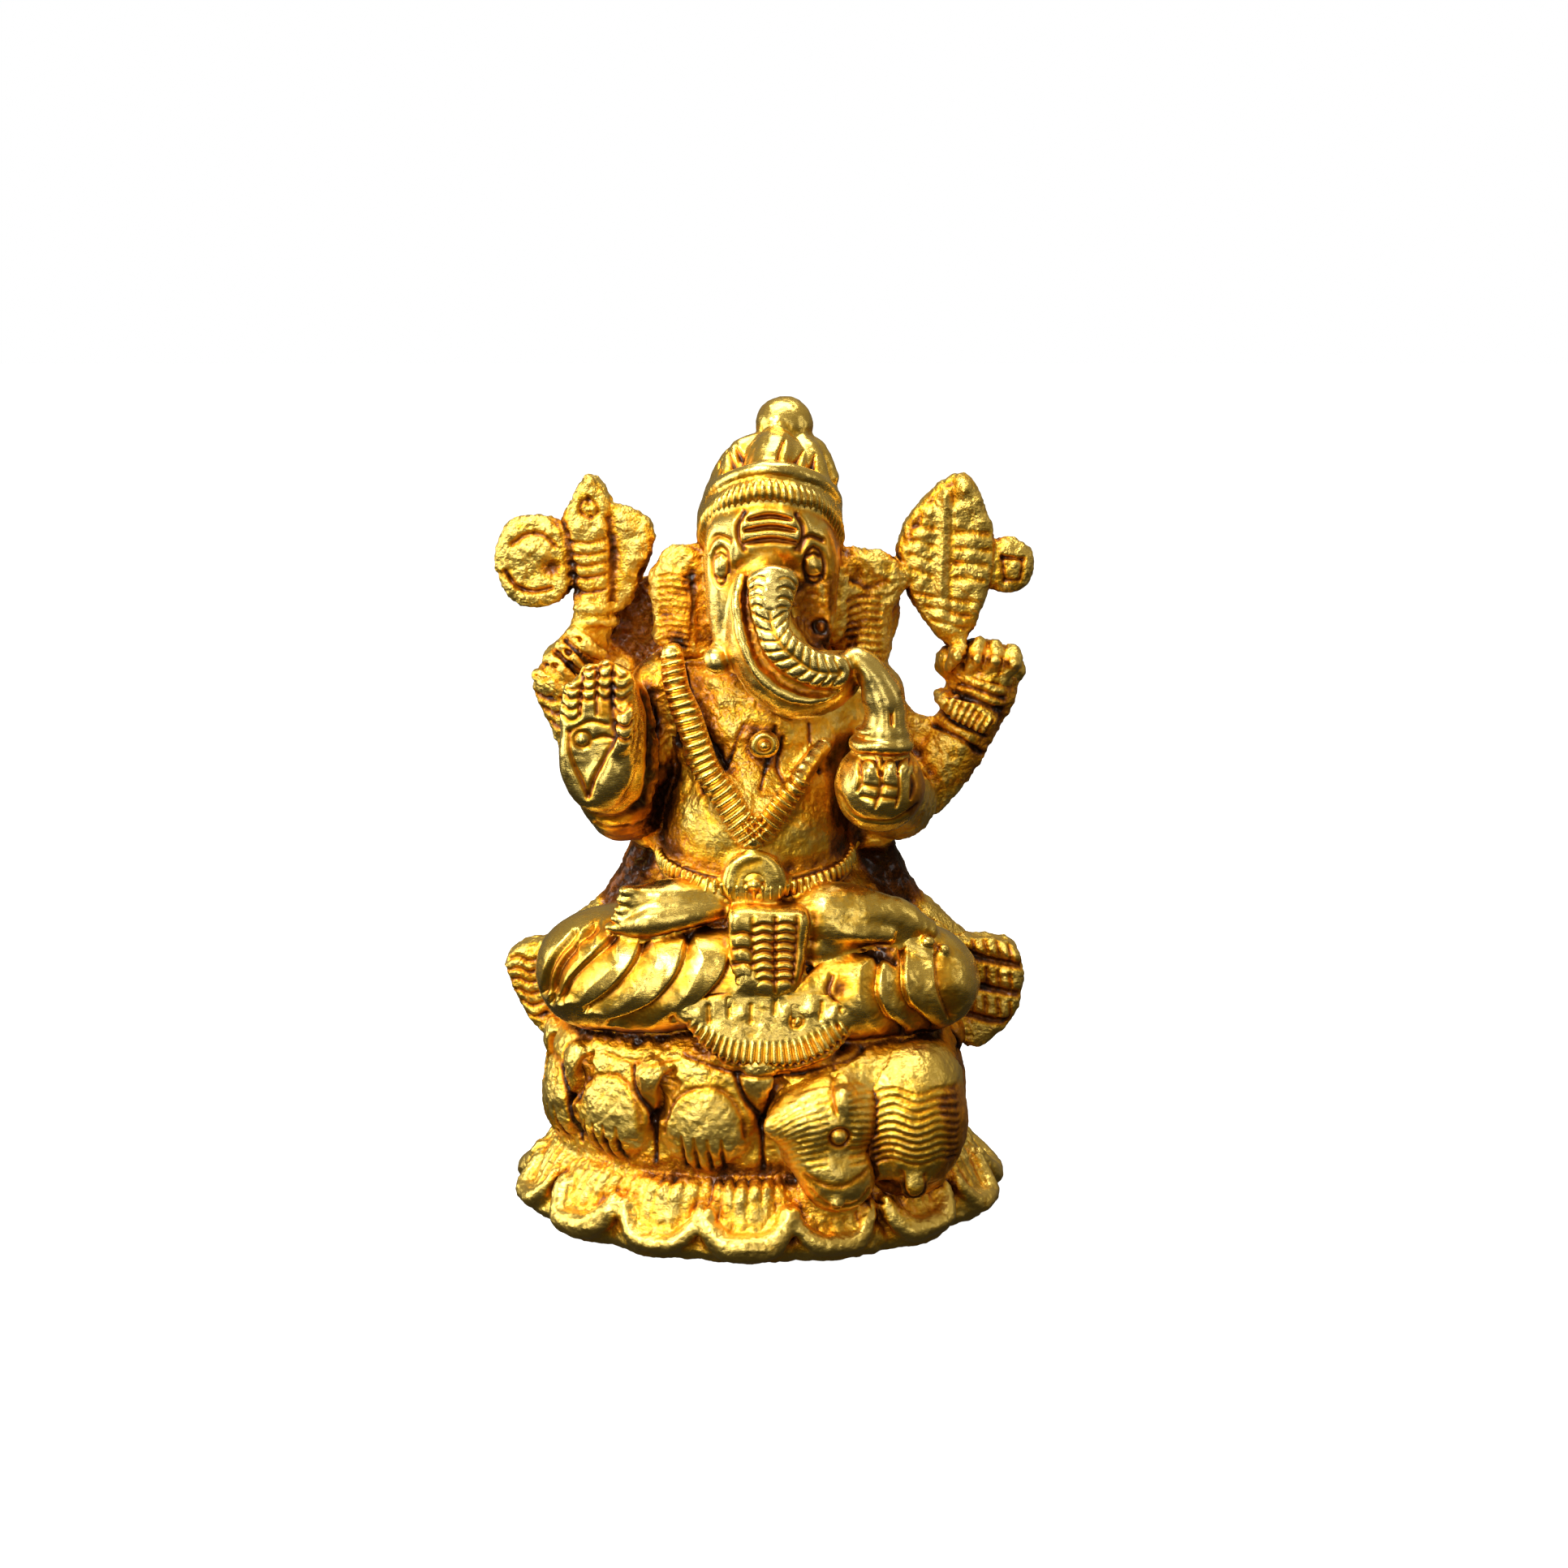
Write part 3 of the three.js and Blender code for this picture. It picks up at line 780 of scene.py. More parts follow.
def crown():
    neck = (1.25, -0.3)
    sculpt(
        "crown_finial", BURNISHED,
        [
            add(egg((1.4, -0.3, 54.15), (1.85, 1.8, 1.8))),
            add(egg((1.3, -0.3, 53.0), (1.75, 1.5, 0.9)), 0.3),
            cut(egg((1.2, -2.3, 53.7), (0.8, 0.5, 0.3)), 0.4),
        ],
        blend=0.3, grain=0.04, worn=0.3,
    )

    lobes = [
        add(egg((0.45, 0.5, 47.6), (4.85, 4.6, 4.9))), add(egg((0.65, -0.3, 49.4), (4.2, 4.3, 3.6)), 0.8),
        add(ring((0.55, -0.7, 47.9), 3.9, 5.1, 0.65, 33), 0.4),
    ]
    for angle, size in (
        (-6, 1.6), (26, 0.75), (52, 0.95), (80, 0.85), (115, 0.9), (155, 1.0), (195, 1.0), (235, 0.9),
        (270, 0.85), (302, 1.0), (333, 0.8),
    ):
        turn = math.radians(angle)
        out = (math.sin(turn), -math.cos(turn))
        top = (neck[0] + 0.9 * out[0], neck[1] + 0.9 * out[1], 53.3, 0.6 * size)
        side = (neck[0] - 0.3 + 2.5 * out[0], neck[1] + 2.4 * out[1], 52.5, 0.88 * size)
        foot = (neck[0] - 0.5 + 3.5 * out[0], neck[1] + 3.7 * out[1], 50.8, 0.9 * size)
        lobes.append(add(tube(top, side, foot), 0.3))

    def cloth(skin):
        for path in (
            [(-2.4, 52.8), (-2.0, 52.0), (-1.7, 51.2)], [(-1.7, 52.9), (-1.4, 52.2), (-1.2, 51.4)],
            [(1.4, 53.4), (1.1, 52.6), (1.0, 51.9)], [(2.6, 52.6), (2.2, 52.0), (1.9, 51.5)],
            [(3.4, 52.4), (3.2, 51.6), (3.0, 51.0)], [(-3.0, 52.0), (-2.8, 51.4), (-2.6, 50.8)],
        ):
            skin.line(path, 0.16, 0.22, taper=0.6)

    sculpt("crown_dome", BURNISHED, lobes, blend=0.25, chase=cloth, grain=0.03, worn=0.3)

    sculpt(
        "crown_ring", BURNISHED, [add(ring((0.6, -0.6, 48.9), 4.05, 5.25, 0.55, 31))], blend=0.15,
        grain=0.01, worn=0.5,
    )

    def band_ribs(skin):
        away = skin.points - np.array([0.45, -0.8, 46.9])
        turn = np.arctan2(away[:, 0], -away[:, 1])
        ribs = 72
        skin.height += 0.17 * (0.5 - np.abs(np.sin(turn * ribs / 2)))

    sculpt(
        "crown_band", BURNISHED, [add(ring((0.45, -0.8, 46.9), 4.25, 6.0, 0.6, 35, flat=1.1))], blend=0.2,
        chase=band_ribs, worn=0.5,
    )


# ---------------------------------------------------------------- head


def head():
    def face(skin):
        for z, wide in ((48.75, 1.35), (48.0, 1.6), (47.2, 1.65)):
            skin.line([
                (0.45 - wide, z - 0.14), (0.45, z + 0.1), (0.45 + wide, z - 0.1),
            ], 0.19, 0.42, taper=0.35)
        skin.line([(-1.2, 49.1), (-1.65, 48.3), (-1.65, 47.4), (-1.2, 46.7)], 0.17, 0.3)
        skin.line([(2.15, 49.0), (2.6, 48.2), (2.6, 47.4), (2.15, 46.7)], 0.17, 0.3)
        for middle, wide, deep in ((-2.75, 0.62, 0.2), (3.3, 0.62, 0.28)):
            skin.line(oval(middle, 45.6, wide, 1.2, 9), 0.14, deep)
            skin.line([(middle - 0.85, 46.6), (middle - 0.3, 47.5), (middle + 0.6, 47.2)], 0.16, deep)
            skin.dent((middle, 45.6), 0.3, -0.14)
            skin.line([(middle - 0.35, 46.2), (middle, 46.4), (middle + 0.3, 46.2)], 0.12, deep)
            skin.line([(middle - 0.4, 44.9), (middle, 44.8), (middle + 0.35, 44.9)], 0.12, deep)
        skin.ring_dot((3.7, 41.6), 0.42, 0.15)
        skin.ring_dot((4.2, 40.4), 0.35, 0.15)
        # painted shade: the head's right side and the recess right of the trunk strip, which the key light
        # from the upper left leaves dark; the roughening is real cast grit
        skin.paint_shade([(4.5, 44.4), (4.6, 39.8)], 1.0, 0.25)
        skin.roughen([(4.5, 44.4), (4.6, 39.8)], 1.2, 0.8)
        skin.paint_shade([(2.7, 43.8), (3.2, 41.8), (3.9, 40.2)], 1.2, 0.5)
        skin.roughen([(2.8, 44.0), (3.6, 42.0), (4.2, 40.0)], 1.3, 1.0)
        skin.paint_shade([(4.6, 47.6), (4.7, 43.0)], 0.9, 0.3)

    forehead = [
        (-1.9, 46.0), (-1.9, 48.4), (-1.0, 49.4), (0.4, 49.7), (1.8, 49.4), (2.7, 48.4), (2.7, 46.0),
        (0.4, 46.3),
    ]
    mask = [
        (-3.7, 46.4), (-3.2, 48.4), (-1.6, 49.5), (0.4, 49.8), (2.6, 49.4), (4.1, 48.2), (4.8, 46.4),
        (4.7, 43.4), (4.2, 40.4), (2.4, 38.6), (-1.4, 38.2), (-2.9, 39.6), (-3.6, 42.4),
    ]
    sculpt(
        "head", BURNISHED,
        [
            add(egg((0.6, -0.8, 45.0), (4.5, 4.6, 5.0))), add(slab(mask, -5.9, 1.0, 1.5, lean=0.02), 0.4),
            add(slab(forehead, -6.3, -3, 0.9), 1.1), cut(egg((0.7, -7.6, 44.9), (1.6, 1.5, 1.5)), 0.5),
            cut(egg((3.5, -6.4, 42.4), (1.3, 1.3, 2.8)), 0.6),
            add(tube((-2.5, -4.4, 40.2, 0.75), (-2.9, -5.3, 39.4, 0.95)), 0.2),
        ],
        nodes=["head", "right_tusk", "left_tusk"], blend=0.3, chase=face, grain=0.015, worn=0.7,
    )


def trunk():
    def shaded_side(skin):
        skin.paint_shade([(2.4, 44.0), (2.6, 42.2), (3.6, 40.9)], 1.0, 0.5)
        skin.roughen([(2.4, 44.0), (2.6, 42.2), (3.6, 40.9)], 1.2, 1.0)

    border = (
        (-1.35, -6.7, 45.0), (-1.55, -7.3, 43.6), (-1.4, -7.8, 41.9), (-1.0, -8.1, 40.5), (-0.2, -8.3, 39.1),
        (1.0, -8.5, 38.0), (2.6, -8.6, 37.45), (4.0, -8.3, 37.6), (5.2, -7.7, 38.5),
    )
    sculpt(
        "trunk", BURNISHED,
        [
            add(tube(
                (0.3, -4.2, 46, 2.0), (-0.1, -4.9, 43.5, 2.3), (0.0, -5.4, 41, 2.45), (0.9, -5.7, 39.1, 2.6),
                (2.4, -5.9, 38.1, 2.4), (4.1, -6.2, 38.3, 1.95), (5.0, -6.5, 38.7, 1.5),
            ), 0.6),
            add(tube(*[(*point, 0.4) for point in border]), 0.15),
            cut(tube(*[(x + 0.75, y - 0.1, z + 0.45, 0.3) for x, y, z in border[1:-1]]), 0.15),
        ],
        blend=0.3, chase=shaded_side, grain=0.01, worn=0.5,
    )

    def crescents(skin):
        centre = curve([
            (0.7, 46.4), (0.6, 44.3), (0.5, 43.0), (0.8, 41.7), (1.7, 40.4), (3.1, 39.5), (4.9, 39.2),
        ])
        gap, at = walk(centre, skin.flat)[:2]
        lower = smoothstep(2.8, 3.6, at)
        scale_pitch, leaf_pitch = 0.6, 0.66
        scales = (at - 0.9 * (gap - 0.8) ** 2) / scale_pitch
        leaves = (at + 0.5 * gap) / leaf_pitch
        share = np.where(lower > 0.5, leaves, scales)
        marks = np.exp(-(((share - np.round(share)) / 0.14) ** 2))
        outer = smoothstep(0.3, 0.5, gap) * (1 - lower) + lower * smoothstep(0.0, 0.2, gap)
        skin.height -= 0.15 * marks * outer * skin.front * smoothstep(0.8, 1.2, at)
        skin.height -= 0.14 * np.exp(-((gap / 0.12) ** 2)) * skin.front * lower

    sculpt(
        "trunk_strip", BURNISHED,
        [
            add(ribbon(
                (0.65, -7.6, 44.4, 1.5), (0.55, -7.95, 43.4, 1.3), (0.6, -8.2, 42.2, 1.1),
                (1.0, -8.5, 41.2, 1.1), (1.9, -8.7, 40.2, 1.15), (3.2, -8.7, 39.5, 1.15),
                (4.6, -8.4, 39.2, 1.05), thick=0.6, round_by=0.4,
            )),
            add(egg((-0.05, -7.5, 44.8), (0.95, 0.8, 0.95)), 0.1),
            add(egg((1.4, -7.5, 44.8), (0.95, 0.8, 0.95)), 0.1),
        ],
        blend=0.08, chase=crescents, worn=0.9,
    )

    sculpt(
        "trunk_tip", BURNISHED,
        [
            add(egg((5.0, -7.8, 39.3), (0.7, 0.6, 0.7))),
            add(tube(
                (5.0, -7.2, 39.1, 0.8), (5.8, -7.5, 39.7, 0.85), (6.7, -7.6, 39.4, 0.95),
                (7.3, -7.6, 38.4, 1.1), (7.7, -7.5, 37.3, 1.25),
            ), 0.2),
        ],
        blend=0.3, grain=0.01, worn=0.8,
    )

    def crease(skin):
        skin.line([(7.6, 38.4), (8.1, 37.2), (8.2, 35.8)], 0.14, 0.25)

    sculpt(
        "sweet", BURNISHED,
        [add(tube((7.7, -7.5, 37.3, 1.25), (7.95, -7.5, 36.2, 1.35), (7.9, -7.4, 35.0, 1.5)))], blend=0.3,
        chase=crease, grain=0.01, worn=0.6,
    )


def ears():
    def right_marks(skin):
        for k in range(12):
            z = 44.3 - 0.43 * k
            skin.line([(-6.9, z - 0.1), (-6.1, z + 0.1), (-5.1, z - 0.05)], 0.13, 0.14)
        skin.line([(-4.8, 44.6), (-4.7, 43.0), (-4.9, 40.0)], 0.2, 0.16)

    outline = [
        (-3, 45.4), (-4.8, 46.2), (-6.6, 45.6), (-7.6, 43.8), (-7.3, 41.4), (-7.2, 39.8), (-5.2, 38.8),
        (-3, 39.2),
    ]
    sculpt(
        "right_ear", ROUGH_CAST,
        [
            add(slab(outline, -0.7, 1.8, 0.9)),
            add(tube(
                (-3.6, 0.3, 45.2, 0.6), (-4.8, -0.1, 45.6, 0.7), (-6.2, 0.0, 45.4, 0.7),
                (-7.0, 0.4, 44.4, 0.6),
            ), 0.25),
            add(tube((-5.7, 0.1, 43.8, 1.2), (-5.6, -0.1, 41.8, 1.2), (-5.4, 0.0, 39.9, 1.3)), 0.6),
        ],
        blend=0.4, chase=right_marks, grain=0.06, rough=0.9,
    )

    def left_marks(skin):
        for k in range(9):
            z = 42.9 - 0.52 * k
            skin.line([(5.6, z - 0.2), (6.6, z + 0.12), (7.8, z - 0.05)], 0.14, 0.16)
        skin.line([(6.0, 43.9), (7.0, 43.6), (8.2, 44.0)], 0.2, 0.15)

    outline = [
        (4.2, 45.4), (6.2, 45.9), (8.6, 45.4), (9.4, 43.8), (8.8, 41.8), (8, 37.8), (5.8, 38.2), (4.2, 39.6),
    ]
    sculpt(
        "left_ear", ROUGH_CAST,
        [
            add(slab(outline, -0.5, 1.9, 0.9)),
            add(tube(
                (4.6, 0.2, 45.0, 0.7), (6.2, 0.0, 45.1, 0.8), (7.6, 0.0, 44.8, 0.85), (8.5, 0.3, 43.9, 0.8),
            ), 0.5),
            add(egg((4.6, -0.8, 42.6), (1.4, 1.2, 3.0)), 0.6),
            add(tube((6.5, 0.0, 42.8, 1.2), (6.7, -0.1, 41.0, 1.2), (6.7, -0.2, 39.0, 1.3)), 0.6),
        ],
        blend=0.4, chase=left_marks, grain=0.06, rough=0.9,
    )


# ---------------------------------------------------------------- body


def torso():
    def engraving(skin):
        for path in (
            [(-5.6, 39.4), (-4.4, 35.5), (-2.5, 32)], [(-6.9, 38.6), (-6.7, 36), (-5.6, 33)],
            [(-5, 33), (-4, 30.5)], [(-1.3, 34.9), (-1.9, 33.3), (-2.5, 32.1)],
            [(0.7, 34.8), (0.25, 32.7), (-0.1, 30.9)], [(3.0, 34.8), (3.1, 33.0), (3.8, 31.4)],
        ):
            skin.line(path, 0.14, 0.25)
        skin.line([(1.2, 34.0), (0.9, 32.2), (1.6, 30.9), (2.3, 31.6)], 0.14, 0.2)
        skin.roughen([(-6.4, 37.5), (-6.2, 31.0), (-5.8, 27.0)], 1.6, 0.6)
        skin.roughen([(-3.4, 37.5), (-1.5, 33.0), (-0.8, 30.0)], 2.2, 0.45)
        skin.dent((-3.6, 37.6), 0.5, -0.3)
        skin.dent((-2.6, 36.4), 0.4, -0.25)
        # painted shade on both flanks of the torso, a painted shadow under the trunk and faint painted shade
        # along the top of the belt
        skin.paint_shade([(-6.6, 33.0), (-6.3, 26.5)], 1.3, 0.45)
        skin.paint_shade([(5.4, 33.0), (5.7, 26.5)], 1.7, 0.6)
        skin.paint_shade([(1.6, 36.6), (3.6, 36.8)], 1.4, 0.4)
        skin.paint_shade([(-4.0, 25.6), (4.0, 25.8)], 0.7, 0.12)

    right_side = [(-5.5, 38), (-8.3, 37.4), (-9.4, 33), (-9.6, 26.4), (-5.0, 26.4)]
    left_side = [(5.0, 38), (8.4, 36.6), (9.6, 33), (9.6, 26.4), (4.4, 26.4)]
    sculpt(
        "torso", ROUGH_CAST,
        [
            add(egg((-0.6, -0.6, 27.3), (6.2, 5.6, 6.2))), add(egg((-0.1, 0.6, 34.0), (6.6, 4.6, 5.6)), 1.5),
            add(tube((-6.4, 1.0, 36.4, 2.3), (7.2, 1.0, 36.0, 2.3)), 1.2),
            add(egg((0.6, 0.6, 40), (3.8, 3.4, 3.2)), 1.0), add(slab(right_side, -0.6, 3.0, 0.8), 0.8),
            add(slab(left_side, -0.4, 3.0, 0.8), 0.8),
        ],
        blend=0.5, chase=engraving, grain=0.04, rough=0.5,
    )

    def garland_ribs(skin):
        left = curve([(-6, 39.4), (-5, 35.4), (-3, 31), (-0.6, 27.8)])
        right = curve([(-0.6, 27.8), (1, 29.6), (2.4, 31.5)])
        pitch = 0.52
        for path in (left, right):
            gap, at, length = walk(path, skin.flat)
            mine = (gap < 1.2) & (at > 0) & (at < length)
            skin.height += 0.18 * np.cos(2 * math.pi * at / pitch) * mine * skin.front
        skin.ring_dot((0, 33.8), 0.5, 0.2, dot=0.5)

    sculpt(
        "garland", BURNISHED,
        [
            add(ribbon(
                (-6.0, -2.6, 39.3, 0.75), (-5.6, -3.8, 37.0, 0.85), (-4.8, -4.4, 35.1, 0.9),
                (-4.1, -4.9, 33.2, 0.9), (-3.9, -5.1, 32.5, 0.9), thick=0.7, round_by=0.5,
            )),
            add(ribbon(
                (-4.3, -4.7, 33.0, 0.9), (-3.1, -5.2, 31.2, 0.95), (-1.9, -5.8, 29.4, 1.0),
                (-0.7, -6.1, 28.0, 1.0), thick=0.7, round_by=0.5,
            ), 0.1),
            add(ribbon(
                (-0.6, -6.1, 28.0, 0.9), (0.6, -5.9, 29.1, 0.8), (1.7, -5.3, 30.4, 0.75),
                (2.7, -4.0, 31.8, 0.7), (3.9, -3.1, 33.3, 0.6), thick=0.7, round_by=0.5,
            ), 0.1),
            add(egg((0.0, -4.8, 33.75), (1.0, 0.7, 1.0)), 0.1),
        ],
        nodes=["garland", "pendant"], blend=0.15, chase=garland_ribs, worn=0.3,
    )


def belt():
    def lines(skin):
        turn = np.arctan2(skin.points[:, 0] + 0.6, -(skin.points[:, 1] + 0.2))
        off = skin.points[:, 2] - np.minimum(24.3 + 0.95 * (turn / 1.3) ** 2, 25.6)
        radius, pitch = 6.1, 0.5
        beads = np.cos(turn * radius / pitch * 2 * math.pi)
        skin.height += 0.13 * beads * smoothstep(0.6, 0.4, np.abs(off))
        for offset in (-0.62, 0.62):
            skin.height -= 0.18 * np.exp(-(((off - offset) / 0.13) ** 2))

    sculpt(
        "belt", BURNISHED, [add(ring((-0.6, -0.3, 25.2), 6.35, 5.9, 0.5, -9, flat=1.8))], blend=0.3,
        chase=lines, grain=0.01,
    )

    def buckle_marks(skin):
        skin.ring_dot((-0.6, 24.9), 0.6, 0.22)
        skin.line([(-1.9, 24.2), (-1.5, 25.9), (-0.2, 26.4)], 0.25, 0.08)
        skin.roughen([(-0.6, 24.9), (-0.5, 24.8)], 2.2, 0.25)

    sculpt(
        "belt_buckle", BURNISHED,
        [
            add(tube((-0.6, -6.3, 24.9, 0.9), (-0.6, -6.25, 24.91, 0.9), straight=True)),
            add(slab(oval(-0.6, 24.9, 2.15, 2.15, 8), -6.9, -5.4, 0.5), 0.2),
        ],
        blend=0.15, chase=buckle_marks, grain=0.01,
    )


# ---------------------------------------------------------------- front arms


def right_front_arm():
    def cuff(skin):
        skin.line([(-12.0, 29.6), (-10.8, 28.9), (-9.4, 28.8), (-8.2, 29.6)], 0.3, 0.3)
        skin.line([(-11.2, 28.2), (-10.2, 27.8), (-9.0, 28.0)], 0.16, 0.2)
        skin.line([(-7.9, 37.6), (-7.4, 35.0), (-7.5, 32.0), (-8.0, 29.6)], 0.2, 0.3)
        skin.roughen([(-6.6, 37.6), (-6.6, 34.0), (-7.0, 30.0), (-8.0, 27.0)], 1.1, 0.8)
        # painted shade in the gap between the arm and the torso
        skin.paint_shade([(-7.0, 31.0), (-8.0, 27.6), (-9.8, 26.8)], 1.4, 0.45)
        skin.paint_shade([(-7.4, 34.6), (-7.5, 31.6)], 0.6, 0.35)

    sculpt(
        "right_arm", BURNISHED,
        [
            add(tube((-7.0, 0.6, 36.6, 2.0), (-7.6, 0.2, 32.5, 2.1), (-8.9, -0.4, 28.8, 2.3))),
            add(tube(
                (-9.4, -3.6, 36.4, 1.9), (-9.5, -3.8, 33.6, 2.6), (-9.9, -3.2, 30.8, 2.7),
                (-9.7, -0.8, 28.4, 2.2),
            ), 0.6),
        ],
        nodes=["right_upper_arm", "right_forearm"], blend=0.5, chase=cuff, grain=0.02, rough=0.15,
    )

    fingers = ((-12.35, 38.2), (-11.25, 39.5), (-10.15, 39.7), (-9.0, 39.0))

    def palm_marks(skin):
        skin.ring_dot((-11.7, 34.6), 0.5, 0.22, dot=0.5)
        skin.line([(-12.5, 35.0), (-12.5, 34.0), (-12.1, 32.6), (-11.3, 30.8)], 0.15, 0.24)
        skin.line([(-12.5, 35.1), (-11.2, 35.7), (-10.0, 35.6)], 0.14, 0.2)
        skin.line([(-9.6, 35.9), (-9.7, 34.6), (-10.4, 33.2), (-11.0, 32.0), (-11.2, 30.9)], 0.16, 0.26)
        skin.line([(-11.0, 34.6), (-10.4, 34.8), (-9.8, 34.7)], 0.2, 0.2, taper=0.7)
        for x, top in fingers:
            for row in range(4):
                z = top - 0.3 - 0.68 * row
                skin.line([
                    (x - 0.5, z + 0.2), (x - 0.2, z - 0.06), (x + 0.2, z - 0.06), (x + 0.5, z + 0.2),
                ], 0.12, 0.2)
        for x in (-11.8, -10.7, -9.6):
            skin.line([(x, 36.2), (x, 37.6), (x + 0.05, 39.4)], 0.14, 0.24)
        for z in (35.6, 34.7):
            skin.line([(-9.4, z + 0.25), (-9.0, z), (-8.5, z), (-8.2, z + 0.3)], 0.14, 0.28)
        # painted shade between the last two fingers
        skin.paint_shade([(-9.6, 38.0), (-10.2, 36.4)], 0.5, 0.35)

    mitten = [
        (-13.0, 36.6), (-13.1, 35.0), (-13.3, 33.4), (-13.1, 31.8), (-12.3, 30.4), (-10.9, 29.5),
        (-9.4, 30.0), (-8.4, 31.8), (-8.1, 33.8), (-8.1, 36.4), (-8.4, 38.4), (-9.4, 39.4), (-11.2, 39.2),
        (-12.4, 38.0),
    ]
    steps = [add(slab(mitten, -7.4, -4.6, 1.2))]
    steps += [add(tube((x, -6.5, 36.0, 0.6), (x + 0.05, -6.6, top - 0.6, 0.62)), 0.25) for x, top in fingers]
    steps += [
        add(egg((-9.9, -7.0, 32.3), (1.5, 0.8, 1.9), (0, 25, 0)), 0.4),
        add(tube((-9.3, -7.1, 33.9, 0.7), (-8.95, -7.5, 35.0, 0.68), (-8.75, -7.4, 36.3, 0.62)), 0.2),
        cut(egg((-11.5, -8.3, 33.6), (1.5, 0.9, 1.9)), 0.5),
    ]
    sculpt(
        "right_hand", BURNISHED, steps, nodes=["right_palm", "right_fingers", "right_thumb"], blend=0.35,
        chase=palm_marks, grain=0.02, rough=0.25, worn=0.5,
    )


def left_front_arm():
    sculpt(
        "left_arm", ROUGH_CAST,
        [
            add(tube((7.0, 0.8, 36.4, 2.0), (7.6, 0.2, 32.5, 2.1), (9.0, -0.6, 28.8, 2.3)), 0.5),
            add(tube((9.2, -0.8, 28.9, 2.3), (8.8, -3.4, 29.8, 2.3), (8.0, -5.4, 30.8, 2.3)), 0.8),
        ],
        nodes=["left_upper_arm", "left_forearm"], blend=0.5, grain=0.06, rough=0.6,
    )

    def fingers(skin):
        for x, top, foot in ((6.1, 33.4, 31.6), (7.4, 33.0, 30.6), (8.7, 33.0, 30.6), (9.6, 32.6, 31.0)):
            skin.line([(x, top), (x + 0.05, (top + foot) / 2), (x - 0.15, foot)], 0.16, 0.22, taper=0.6)
        skin.line([(4.9, 31.1), (5.6, 30.1), (6.9, 29.6), (8.4, 29.6), (9.9, 30.5)], 0.16, 0.18)
        for x, size in ((6.75, 0.42), (8.1, 0.42), (9.2, 0.3), (9.95, 0.24)):
            skin.dent((x, 33.0), size, -0.26)
            skin.line([
                (x - 0.62, 32.8), (x - 0.45, 33.5), (x, 33.75), (x + 0.45, 33.5), (x + 0.6, 32.8),
            ], 0.12, 0.2)
        for z in (32.1, 31.3):
            skin.line([(6.3, z), (7.2, z - 0.15)], 0.13, 0.16)
            skin.line([(7.6, z), (8.5, z - 0.15)], 0.13, 0.16)
        # painted shade down the hand's right side, away from the key light
        skin.paint_shade([(10.4, 33.0), (9.9, 30.2)], 0.9, 0.4)

    sculpt(
        "left_hand", BURNISHED,
        [
            add(egg((7.55, -6.9, 31.4), (2.95, 2.8, 3.0))),
            add(egg((6.8, -8.4, 32.3), (1.1, 1.2, 1.3)), 0.5),
            add(egg((8.2, -8.5, 32.2), (1.1, 1.2, 1.3)), 0.5),
        ],
        nodes=["left_hand", "left_fingers"], blend=0.3, chase=fingers, grain=0.015, rough=0.15, worn=0.45,
    )
    sculpt(
        "hand_ring", BURNISHED,
        [
            add(egg((7.65, -7.2, 34.3), (1.8, 1.7, 0.9))), add(ring((7.65, -7.3, 34.4), 1.7, 1.6, 0.38)),
            add(ring((7.7, -7.3, 35.2), 1.45, 1.35, 0.3), 0.1),
        ],
        blend=0.15, grain=0.01, worn=0.5,
    )


